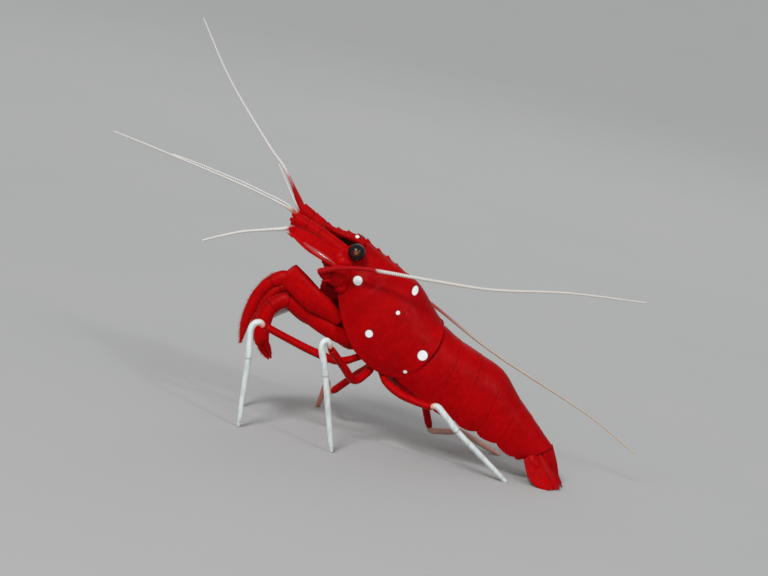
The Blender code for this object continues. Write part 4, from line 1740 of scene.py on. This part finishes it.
@dataclass(frozen=True)
class Antenna:
    """Base of a long feeler: a lobed root with a spine, and the scale beside it."""

    side: Side
    base: Line = ((-5.0, -2.9, 20.8), (-6.2, -3.3, 20.95), (-7.2, -3.75, 20.9),
                  (-8.1, -4.2, 20.95))
    base_half: Sizes = (0.95, 0.95, 0.8, 0.42)
    base_deep: Sizes = (1.6, 1.5, 1.05, 0.5)
    spine: tuple[Point, Point] = ((-6.8, -4.15, 20.2), (-7.9, -4.55, 19.95))
    scale: Line = ((-5.9, -3.25, 22.3), (-7.9, -3.45, 23.3), (-10.2, -3.7, 24.3),
                   (-13.1, -3.8, 25.45))
    scale_half: Sizes = (0.95, 1.3, 1.35, 0.5)
    tilt: Point = (0.0, 0.7, 0.72)
    rib_half: Sizes = (0.05, 0.13, 0.16, 0.13, 0.05)
    rib_deep: Sizes = (0.07, 0.22, 0.3, 0.24, 0.06)
    rib_facing: Point = (0.29, -0.88, 0.38)
    rib_points: int = 9
    inner_row: Row = Row(0.4, 0.99, 150, 0.55, 0.009)
    tip_row: Row = Row(0.94, 0.995, 24, 0.4, 0.009)

    def rib(self, leaf: Blade) -> Limb:
        """The smooth rib that stiffens the outer edge of the scale.

        Args:
            leaf: The scale.

        Returns:
            The rib as a limb of one article.
        """
        line = []
        for k in range(self.rib_points):
            t = 0.1 + 0.08 * k
            ring = leaf.route.ring(t, leaf.across)
            out = ring.normal * math.copysign(leaf.thickness(leaf.rib_at, t), ring.normal.y)
            line.append(leaf.edge(t, leaf.rib_at)[0] - out * self.side.value)
        return Limb(Route(line), self.rib_half, sides=36, across=self.side.turn(self.rib_facing),
                    deep=self.rib_deep)

    def root(self) -> Shape:
        """The root of the feeler, with its spine and its last short article."""
        route = Route(self.side.flip(self.base))
        root = Limb(route, self.base_half, (0.62,), deep=self.base_deep, sides=32, cap=0.3)
        spine = horn(*(self.side.turn(point) for point in self.spine), 0.3, 0.25,
                     Vector((0, 0, 1)))
        last = ball(route.at(1.0) + Vector((0.1, -0.1, 0.1)), (0.45, 0.5, 0.5),
                    Matrix.Identity(3), 0.2, 20)
        return merged([root.shape(), spine, last])

    def build(self) -> None:
        """Makes the root, the scale with its rib and the bristles on the scale's edges."""
        letter = self.side.letter
        stand_in(f"antenna_base_{letter}", self.root(), LIMB_RED)
        leaf = Blade(Route(self.side.flip(self.scale)), self.scale_half,
                     tuple(self.side.turn(self.tilt)), thick=0.12, rib=0.14, rib_at=-0.66,
                     rib_width=0.3, keel=0.04, sides=72)
        corner, _, heading = leaf.edge(0.9, -1)
        tooth = horn(corner, corner + heading * 0.95, 0.2, 0.16, Vector((0, 0, 1)))
        stand_in(f"antenna_scale_{letter}", merged([leaf.shape(), tooth]), LIMB_RED)
        piece(f"antenna_rib_{letter}", self.rib(leaf).shape(), GLOSSY_RED)
        hairs = self.inner_row.on_edge(leaf, 1) + self.tip_row.on_edge(leaf, -1)
        coat(f"antenna_scale_{letter}_fringe", hairs, BRISTLE)


def drawn_in(side: Side, points: Line, back: float = -0.2, down: float = 0.8,
             fixed: int = 2) -> Line:
    """Points of a front limb, with the right one held a little lower.

    Args:
        side: Side of the limb.
        points: Left-hand points.
        back: How far back the right one is moved.
        down: How far down.
        fixed: How many first points stay.

    Returns:
        The points on their own side.
    """
    if side is Side.LEFT:
        return points
    return tuple((x + back, y, z - down) if k >= fixed else (x, y, z)
                 for k, (x, y, z) in enumerate(side.flip(points)))


@dataclass(frozen=True)
class MouthLimb:
    """The long third mouth limb: a broad flat thigh and an arched, feathered end."""

    side: Side
    thigh: Line = (
        (-4.4, -1.6, 14.85), (-6.7, -2.5, 16.35), (-8.25, -2.95, 17.1), (-10.2, -3.05, 18.4),
        (-12.2, -3.05, 19.75),
    )
    thigh_half: Sizes = (0.55, 0.6, 0.62, 0.6, 0.55)
    thigh_deep: Sizes = (0.8, 1.2, 1.42, 1.42, 1.32)
    arch: Line = (
        (-11.5, -2.9, 18.95), (-12.4, -2.9, 19.05), (-13.35, -2.85, 18.55),
        (-14.3, -2.75, 17.65), (-15.2, -2.7, 16.0), (-15.65, -2.7, 14.3), (-15.93, -2.7, 12.85),
        (-16.0, -2.7, 11.45), (-16.0, -2.7, 9.75),
    )
    half: Sizes = (0.6, 0.66, 0.66, 0.64, 0.6, 0.56, 0.48, 0.36, 0.08)
    deep: Sizes = (0.85, 0.92, 0.84, 0.76, 0.72, 0.7, 0.58, 0.4, 0.08)
    right_back: float = 0.98
    right_down: float = 1.72
    bands: tuple[tuple[float, float, Row], ...] = (
        (0.25, 0.6, Row(0.3, 1.0, 260, 0.36, 0.009)),
        (0.75, 0.8, Row(0.2, 1.0, 620, 0.58, 0.012)),
        (0.0, 3.1, Row(0.8, 1.0, 160, 0.4, 0.009)),
    )

    def build(self) -> None:
        """Makes the limb and its bristles."""
        thigh = Limb(Route(drawn_in(self.side, self.thigh)), self.thigh_half,
                     deep=self.thigh_deep, sides=40, furrow=0.08, cap=0.55)
        bent = drawn_in(self.side, self.arch, self.right_back, self.right_down, 0)
        arch = Limb(Route(bent), self.half, (0.3,), deep=self.deep, sides=36, furrow=0.05)
        name = f"maxilliped_{self.side.letter}"
        stand_in(name, merged([thigh.shape(), arch.shape()]), LIMB_RED)
        coat(f"{name}_bristles", banded(arch, self.bands), PALE_BRISTLE)


@dataclass(frozen=True)
class ClawLeg:
    """First leg, ending in a small two-fingered claw."""

    side: Side
    points: Line = (
        (-2.7, -1.1, 12.5), (-5.7, -1.5, 13.75), (-8.6, -1.7, 15.1), (-11.3, -1.85, 16.2),
        (-13.2, -1.95, 14.9), (-13.8, -2.05, 12.7), (-13.4, -2.1, 10.3), (-12.2, -2.1, 8.7),
    )
    half: Sizes = (0.5, 0.65, 0.68, 0.68, 0.7, 0.74, 0.66, 0.36)
    deep: Sizes = (0.8, 1.12, 1.14, 0.98, 0.92, 1.0, 0.84, 0.42)
    joints: Sizes = (0.42, 0.56)
    palm_end: float = 0.87
    bands: tuple[tuple[float, float, Row], ...] = (
        (0.0, math.pi, Row(0.88, 0.99, 200, 0.42, 0.01)),
        (0.25, 0.5, Row(0.5, 0.88, 110, 0.22, 0.008)),
        (0.75, 0.5, Row(0.5, 0.88, 110, 0.22, 0.008)),
    )

    def fingers(self, route: Route) -> list[Shape]:
        """Fixed and movable finger, a little apart.

        Args:
            route: Middle line of the leg.

        Returns:
            Both fingers.
        """
        root, tip = route.at(self.palm_end - 0.02), route.at(1.0)
        heading = (tip - root).normalized()
        up = Vector((0, 1, 0)).cross(heading).normalized()
        parts = []
        for spread in (1, -1):
            bend = root.lerp(tip, 0.5) + up * 0.34 * spread
            end = tip + heading * 0.3 + up * 0.14 * spread
            finger = Route((root + up * 0.32 * spread, bend, end))
            parts.append(Limb(finger, (0.46, 0.4, 0.12), sides=16, flare=0.0).shape())
        return parts

    def build(self) -> None:
        """Makes the leg and the pale bristles on its claw."""
        route = Route(drawn_in(self.side, self.points))
        limb = Limb(route, self.half, self.joints, deep=self.deep, sides=32, furrow=0.04)
        parts = limb.articles(self.palm_end) + limb.knuckles() + self.fingers(route)
        name = f"leg1_{self.side.letter}"
        stand_in(name, merged(parts), LIMB_RED)
        coat(f"{name}_bristles", banded(limb, self.bands), PALE_BRISTLE)


@dataclass(frozen=True)
class FoldedLeg:
    """Second leg, folded under the first, with a wrist of many short rings."""

    side: Side
    points: Line = (
        (-2.4, -0.6, 13.6), (-5.1, -0.55, 15.2), (-8.0, -0.55, 16.75), (-10.6, -0.55, 18.0),
        (-10.9, -0.55, 17.3), (-8.4, -0.55, 15.95), (-5.4, -0.55, 14.3),
    )
    half: Sizes = (0.34, 0.34, 0.32, 0.3, 0.3, 0.3, 0.2)
    hip: float = 0.2
    wrist: Flat = (0.6, 0.93)
    rings: int = 22

    def build(self) -> None:
        """Makes the leg."""
        start, end = self.wrist
        step = (end - start) / self.rings
        joints = (self.hip, *(start + step * k for k in range(self.rings + 1)))
        limb = Limb(Route(drawn_in(self.side, self.points)), self.half, joints, sides=14,
                    cap=0.35)
        stand_in(f"leg2_{self.side.letter}", merged(limb.articles()), LIMB_RED)


@dataclass(frozen=True)
class WalkingLeg:
    """A long thin leg: red to the knee, pale below it, standing on a pointed claw.

    The pale part hooks over at the knee, so it is given by the points of the hook, the
    wrist and the tip.
    """

    name: str
    thigh: Line
    hook: tuple[Point, Point, Point, Point]
    wrist_at: Point
    tip: Point
    # even orange tint over the whole pale part; only the two far legs have it
    warm: float = 0.0
    thigh_half: Sizes = (0.5, 0.6, 0.6, 0.56, 0.52)
    thigh_joints: Sizes = (0.1, 0.24)
    knee_radius: float = 0.4
    shin_half: Sizes = (0.40, 0.43, 0.45, 0.45, 0.46, 0.43, 0.40, 0.34, 0.12)
    wrist: float = 0.625
    toe: Flat = (0.7, 1.0)
    floor_height: float = 0.06
    claw_length: float = 1.5
    claw_spines: int = 4

    def shin(self) -> Route:
        """Middle line of the pale part."""
        *hook, wrist, tip = (Vector(point) for point in (*self.hook, self.wrist_at, self.tip))
        return Route([*hook, hook[-1].lerp(wrist, 0.5), wrist, wrist.lerp(tip, 0.5),
                      wrist.lerp(tip, 0.85), tip])

    def foot(self, route: Route) -> float:
        """Place on the shin where its middle comes down to the floor.

        Args:
            route: Middle line of the pale part.

        Returns:
            Place from 0 to 1.
        """
        low, high = self.toe
        for _ in range(24):
            middle = (low + high) / 2
            above = route.at(middle).z > self.floor_height
            low, high = (middle, high) if above else (low, middle)
        return low

    def upper(self) -> Shape:
        """The red part, with the soft knee at its end."""
        thigh = Limb(Route(self.thigh), self.thigh_half, self.thigh_joints, sides=24,
                     flatness=0.85)
        joint = Vector(self.thigh[-1]).lerp(Vector(self.hook[0]), 0.5)
        knee = ball(joint, (self.knee_radius,) * 3, Matrix.Identity(3), 0.6, 20)
        return merged([thigh.shape(), knee])

    def lower(self, shin: Limb, claw: float, foot: float) -> Shape:
        """The pale part.

        Args:
            shin: Its limb.
            claw: Place where the claw starts.
            foot: Place where it stands on the floor.

        Returns:
            Shape with the orange near the knee and any even orange tint of the whole leg.
        """
        route = shin.route
        heading = (route.at(foot) - route.at(claw)).normalized()
        parts = shin.articles(foot) + shin.knuckles()
        for k in range(self.claw_spines):
            root = route.at(claw + (foot - claw) * (0.2 + 0.2 * k))
            tip = root + heading * 0.22 + Vector((0.16, 0, 0))
            parts.append(horn(root, tip, 0.07, 0.07, heading, 6))
        whole = merged(parts)
        warm, tone = (whole.verts.layers.float[name] for name in ("warm", "tone"))
        knee = Vector(self.hook[0])
        for vert in whole.verts:
            near = smooth(0.95, 0.35, (vert.co - knee).length)
            vert[warm] = max(self.warm, near * 0.8)
            vert[tone] = min(vert[tone], 0.7)
        return raised(whole)

    def build(self) -> list[Hair]:
        """Makes both lengths of the leg.

        Returns:
            The bristles of the lower length, for one piece with the other legs'.
        """
        stand_in(f"{self.name}_upper", self.upper(), LIMB_RED)
        route = self.shin()
        foot, start = self.foot(route), self.toe[0]
        claw = foot - self.claw_length / route.length(start, foot) * (foot - start)
        shin = Limb(route, self.shin_half, (self.wrist, claw), sides=20, flatness=0.9)
        stand_in(f"{self.name}_lower", self.lower(shin, claw, foot), PALE, Slot.WHITE)
        row = Row(self.wrist, foot * 0.99, 22, 0.2, 0.007)
        return [hair for turn in (0.25, 0.75) for hair in row.on_limb(shin, turn, 0.4, lean=1.0)]


LEGS = (
    WalkingLeg("leg3_L", ((-0.9, -1.9, 11.3), (-3.5, -3.3, 10.35), (-6.7, -4.4, 11.0),
                          (-9.9, -5.2, 12.0), (-13.15, -5.9, 13.1)),
               ((-13.45, -5.95, 13.1), (-13.95, -6.08, 13.5), (-14.58, -6.2, 13.3),
                (-14.93, -6.25, 12.4)), (-14.47, -6.3, 8.74), (-13.9, -6.0, -0.4)),
    WalkingLeg("leg4_L", ((0.9, -1.9, 10.7), (0.1, -2.9, 9.4), (-1.2, -4.7, 8.7),
                          (-2.9, -6.8, 10.6), (-4.65, -8.85, 12.65)),
               ((-4.85, -9.1, 12.95), (-5.12, -9.4, 13.55), (-5.58, -9.7, 13.75),
                (-5.87, -9.88, 12.95)), (-4.63, -9.7, 9.34), (-1.82, -8.6, -0.4)),
    WalkingLeg("leg5_L", ((1.7, -1.9, 10.3), (2.9, -3.4, 9.0), (4.8, -4.6, 8.2),
                          (6.8, -5.5, 7.9), (8.75, -6.2, 7.8)),
               ((8.9, -6.25, 7.8), (9.3, -6.4, 8.02), (9.75, -6.47, 7.98), (10.25, -6.5, 7.6)),
               (12.75, -6.0, 5.4), (20.7, -3.9, -0.4)),
    WalkingLeg("leg3_R", ((-1.3, 1.9, 11.9), (-3.0, 2.7, 11.4), (-5.4, 3.2, 12.5),
                          (-7.9, 3.7, 13.6), (-10.1, 4.05, 14.6)),
               ((-10.3, 4.1, 14.65), (-11.3, 4.3, 14.0), (-12.8, 4.7, 12.9),
                (-14.35, 5.05, 11.5)), (-15.25, 5.35, 8.3), (-14.5, 5.5, -0.4)),
    WalkingLeg("leg4_R", ((0.6, 1.9, 10.9), (0.3, 2.9, 9.2), (-1.1, 4.2, 7.5), (-3.4, 6.4, 4.5)),
               ((-3.5, 6.6, 4.35), (-3.7, 7.0, 4.15), (-3.92, 7.45, 4.1), (-4.15, 8.0, 4.15)),
               (-4.6, 10.9, 4.2), (-5.2, 15.7, -0.4), warm=0.8),
    WalkingLeg("leg5_R", ((2.5, 1.9, 10.4), (3.6, 2.9, 8.9), (7.2, 4.3, 7.5), (9.4, 5.9, 2.9)),
               ((9.5, 6.0, 2.65), (9.68, 6.2, 2.25), (10.05, 6.45, 2.08), (10.6, 6.7, 2.1)),
               (13.7, 8.3, 2.3), (20.5, 10.6, -0.4), warm=0.6),
)


@dataclass(frozen=True)
class Swimmerets:
    """Five pairs of small paddles, folded forward under the tail."""

    shell: Shell = Shell(PLEON_STATIONS)
    pairs: int = 5
    root: Point = (0.35, 0.83, 0.36)
    tip: Point = (0.85, 0.97, 0.38)
    half: Sizes = (0.12, 0.19, 0.1)
    spreads: tuple[Flat, ...] = ((0.22, 0.1), (-0.22, -0.1))
    lobe: tuple[Point, Point] = ((5.7, -2.4, 8.7), (2.0, 0.7, 0.85))
    lobe_lean: float = math.radians(24)
    row: Row = Row(0.2, 0.99, 16, 0.45, 0.012)

    def breadth(self, number: int) -> float:
        """Half width of the tail where that pair is rooted."""
        return self.shell.section(number - self.root[0])[2]

    def end(self, number: int, place: Point, side: float) -> Vector:
        """One end of a paddle: how far back, how deep and how far out it lies."""
        back, deep, out = place
        spot = self.shell.inside(number - back, deep, 0.0)
        return Vector((spot.x, side * out * self.breadth(number), spot.z))

    def leaves(self, number: int, out: int, start: Vector, tip: Vector) -> list[Blade]:
        """The two leaves of a paddle, from the end of its stem to its tip.

        Args:
            number: Number of the pair.
            out: 1 on the right and -1 on the left.
            start: End of the stem.
            tip: Tip of the paddle.

        Returns:
            The leaves.
        """
        half = self.breadth(number)
        broad, middle, narrow = (part * half for part in self.half)
        leaves = []
        for spread, shift in self.spreads:
            aside = Vector((0, spread * half * 0.35 * -out, shift))
            leaves.append(Blade(Route([start, start.lerp(tip, 0.5) + aside, tip + aside]),
                                (broad * 0.6, middle * 0.85, narrow * 0.7), (0, 1, 0),
                                thick=0.07, keel=0.05, sides=18, rings=22))
        return leaves

    def paddle(self, number: int, side: Side) -> list[Hair]:
        """Makes one paddle and gives its bristles.

        Args:
            number: Number of the pair.
            side: Its side.

        Returns:
            The bristles of both leaves.
        """
        out = -side.value
        half = self.breadth(number)
        broad, middle, _ = (part * half for part in self.half)
        root, tip = self.end(number, self.root, out), self.end(number, self.tip, out)
        start = root.lerp(tip, 0.3)
        stem = Limb(Route([root, root.lerp(tip, 0.15), start]),
                    (broad * 0.8, middle * 0.75, middle * 0.6), sides=16)
        leaves = self.leaves(number, out, start, tip)
        parts = [stem.shape(), *(leaf.shape() for leaf in leaves)]
        if number == 1:
            centre, radii = self.lobe
            parts.insert(1, ball(side.turn(centre), radii, pitched(self.lobe_lean)))
        stand_in(f"swimmeret_{number}_{side.letter}", merged(parts), DARK, Slot.DARK)
        tile = (number - 1) * 2 + (side is Side.RIGHT)
        return [hair for leaf in leaves for b in (1, -1)
                for hair in self.row.on_edge(leaf, b, tile, 2 * self.pairs)]

    def build(self) -> None:
        """Makes the ten swimmerets and their bristles."""
        hairs = [hair for number in range(1, self.pairs + 1) for side in Side
                 for hair in self.paddle(number, side)]
        coat("swimmeret_bristles", hairs, BRISTLE)


@dataclass(frozen=True)
class TailFan:
    """Telson and two pairs of side blades, resting on the floor."""

    telson: Line = ((24.2, 0, 4.8), (25.15, 0, 2.9), (25.85, 0, 1.4), (27.2, 0, 0.27))
    telson_spines: tuple[Flat, ...] = ((0.42, 0.45), (0.68, 0.5), (0.97, 0.75), (0.99, 0.3))
    stem: Line = ((22.2, -1.0, 3.6), (22.9, -1.5, 2.8), (23.6, -1.9, 2.0))
    inner: Line = ((23.2, -1.4, 3.6), (24.3, -1.8, 2.1), (25.25, -2.1, 1.05),
                   (26.9, -2.3, 0.26))
    outer: Line = ((22.4, -1.75, 3.3), (23.35, -2.35, 2.0), (24.3, -2.8, 1.0),
                   (26.0, -3.2, 0.26))
    tilt: Point = (0.8, 0.38, 0.46)
    end_row: Row = Row(0.9, 1.0, 22, 0.5)
    inner_rows: tuple[Row, Row] = (Row(0.4, 1.0, 70, 0.4, 0.009), Row(0.5, 1.0, 60, 0.4, 0.009))
    outer_rows: tuple[Row, Row] = (Row(0.4, 1.0, 80, 0.4, 0.009), Row(0.86, 1.0, 30, 0.4, 0.009))
    tiles: int = 5
    clearance: float = 0.03

    def edged(self, leaf: Blade, rows: tuple[Row, Row], tile: int) -> list[Hair]:
        """Bristles of both edges of a blade."""
        return [hair for row, b in zip(rows, (1, -1))
                for hair in row.on_edge(leaf, b, tile, self.tiles)]

    def middle(self) -> list[Hair]:
        """Makes the telson, with its two pairs of small spines and its end spines."""
        leaf = Blade(Route(self.telson), (1.3, 1.3, 1.0, 0.45), (0, 1, 0), thick=0.3, keel=0.2,
                     camber=-0.9, rib=0.05, rib_at=0.7, blunt=0.8)
        parts = [leaf.shape()]
        for side in (-1, 1):
            for t, b in self.telson_spines:
                root, _, heading = leaf.edge(t, side * b)
                lift = Vector((0.16, 0, 0.12)) * (t < 0.9)
                parts.append(horn(root + lift, root + lift * 1.3 + heading * 0.4, 0.08, 0.08,
                                  heading.orthogonal(), 8))
        stand_in("telson", raised(merged(parts)), RED)
        return self.edged(leaf, (self.end_row, self.end_row), self.tiles - 1)

    def fin(self, side: Side) -> list[Hair]:
        """Makes one pair of side blades on their stem.

        Args:
            side: Its side.

        Returns:
            The bristles of both blades.
        """
        tilt = tuple(side.turn(self.tilt))
        inner = Blade(Route(side.flip(self.inner)), (0.8, 1.05, 1.0, 0.4), tilt, thick=0.12,
                      keel=0.07)
        outer = Blade(Route(side.flip(self.outer)), (0.85, 1.15, 1.12, 0.5), tilt, thick=0.12,
                      rib=0.1, rib_at=-0.86, rib_width=0.12, keel=0.06)
        stem = Limb(Route(side.flip(self.stem)), (0.6, 0.75, 0.6), deep=(0.9, 0.9, 0.7), sides=22)
        corner, _, heading = outer.edge(0.82, -1)
        spine = horn(corner, corner + heading * 0.5, 0.14, 0.1, Vector((0, 0, 1)), 8)
        whole = merged([inner.shape(), outer.shape(), stem.shape(), spine])
        stand_in(f"uropod_{side.letter}", raised(whole), RED)
        tile = 0 if side is Side.LEFT else 2
        return (self.edged(inner, self.inner_rows, tile)
                + self.edged(outer, self.outer_rows, tile + 1))

    def lifted(self, hair: Hair) -> Hair:
        """The bristle, turned up if its tip would go through the floor."""
        tip = hair.root.z + (hair.heading.z + hair.bend.z) * hair.length
        level = Vector((0, 0, -min(0.0, tip - self.clearance) / hair.length))
        return replace(hair, heading=hair.heading + level)

    def build(self) -> None:
        """Makes the whole fan and one piece for all its bristles."""
        hairs = self.middle()
        for side in Side:
            hairs += self.fin(side)
        coat("tail_fringe", [self.lifted(hair) for hair in hairs], BRISTLE)


@dataclass(frozen=True)
class Studio:
    """Camera, lights and floor. Lengths are in millimetres, power in watts."""

    target: Point = (0.0, 0.0, 20.0)
    distance: float = 360.0
    elevation: float = math.radians(10)
    roll: float = math.radians(12.5)
    lens: float = 135.0
    sensor_width: float = 36.0
    near: float = 0.01
    floor_radius: float = 3000.0
    sky_strength: float = 0.4
    suns: tuple[tuple[str, Point, float, float], ...] = (
        ("sky_light", (-0.3, -0.68, 0.67), 1.75, 12),
        ("glint_light", (0.54, -0.65, 0.535), 0.42, 6),
    )
    lamps: tuple[tuple[str, Point, float, float, Point], ...] = (
        ("key", (-130, -330, 200), 160, 0.25, (1.0, 0.98, 0.95)),
        ("fill", (240, -260, 260), 240, 0.12, (0.96, 0.98, 1.0)),
        ("back", (60, 330, 260), 240, 0.12, (1.0, 1.0, 1.0)),
    )

    def camera(self) -> None:
        """Camera that looks at the animal's left side, a little from above."""
        data = bpy.data.cameras.new("camera")
        data.lens, data.sensor_width = self.lens, self.sensor_width
        data.clip_start = self.near
        back = Vector((0, -math.cos(self.elevation), math.sin(self.elevation)))
        level = Vector((1, 0, 0))
        rise = Vector((0, math.sin(self.elevation), math.cos(self.elevation)))
        right = level * math.cos(self.roll) + rise * math.sin(self.roll)
        up = rise * math.cos(self.roll) - level * math.sin(self.roll)
        turned = Matrix((right, up, back)).transposed().to_4x4()
        spot = TO_ROW @ (Vector(self.target) + back * self.distance)
        camera = linked("camera", data)
        camera.matrix_world = Matrix.Translation(spot) @ turned
        bpy.context.scene.camera = camera

    def lamp(self, name: str, place: Point, size: float, power: float, colour: Point) -> None:
        """A square soft light that faces the animal."""
        data = bpy.data.lights.new(name, "AREA")
        data.shape, data.size = "SQUARE", size * MM
        data.energy, data.color = power, colour
        spot, target = TO_ROW @ Vector(place), TO_ROW @ Vector(self.target)
        facing = (target - spot).to_track_quat("-Z", "Y").to_matrix().to_4x4()
        linked(name, data).matrix_world = Matrix.Translation(spot) @ facing

    def sun(self, name: str, towards: Point, strength: float, breadth: float) -> None:
        """Even light from a part of the sky, breadth degrees wide, in the direction towards."""
        data = bpy.data.lights.new(name, "SUN")
        data.energy, data.angle = strength, math.radians(breadth)
        facing = Vector(towards).to_track_quat("Z", "Y").to_matrix().to_4x4()
        linked(name, data).matrix_world = facing

    def floor(self) -> None:
        """Wide pale floor, level with the feet."""
        shape = bmesh.new()
        bmesh.ops.create_circle(shape, cap_ends=True, segments=96, radius=self.floor_radius)
        mesh = meshed("floor", shape)
        mesh.transform(TO_ROW)
        mesh.materials.append(Paper("paper").material())
        floor = linked("floor", mesh)

    def sky(self) -> None:
        """Even white light from all round."""
        world = bpy.data.worlds.new("studio")
        world.use_nodes = True
        background = world.node_tree.nodes["Background"]
        background.inputs["Color"].default_value = (1, 1, 1, 1)
        background.inputs["Strength"].default_value = self.sky_strength
        bpy.context.scene.world = world

    def build(self) -> None:
        """Sets up the whole studio."""
        self.camera()
        self.floor()
        for sun in self.suns:
            self.sun(*sun)
        for lamp in self.lamps:
            self.lamp(*lamp)
        self.sky()
        bpy.context.scene.view_settings.view_transform = "Standard"


def main() -> None:
    """Builds the animal from front to back in its studio."""
    logging.basicConfig(level=logging.INFO, format="%(message)s")
    noise.seed_set(7)
    Studio().build()
    Trunk().build()
    Head().build()
    Carapace().build()
    Pleon().build()
    for side, swing in ((Side.LEFT, (0.0, 0.0, 0.0)), (Side.RIGHT, (-0.2, 0.0, 0.05))):
        Eye(side, swing).build()
    Antennule(Side.LEFT, (-12.8, -1.9, 26.5)).build()
    Antennule(Side.RIGHT, (-12.3, 1.6, 27.3)).build()
    for whip in WHIPS:
        whip.build()
    for side in Side:
        Antenna(side).build()
        MouthLimb(side).build()
        ClawLeg(side).build()
        FoldedLeg(side).build()
    coat("leg_bristles", [hair for leg in LEGS for hair in leg.build()], PALE_BRISTLE)
    Swimmerets().build()
    TailFan().build()


if __name__ == "__main__":
    main()
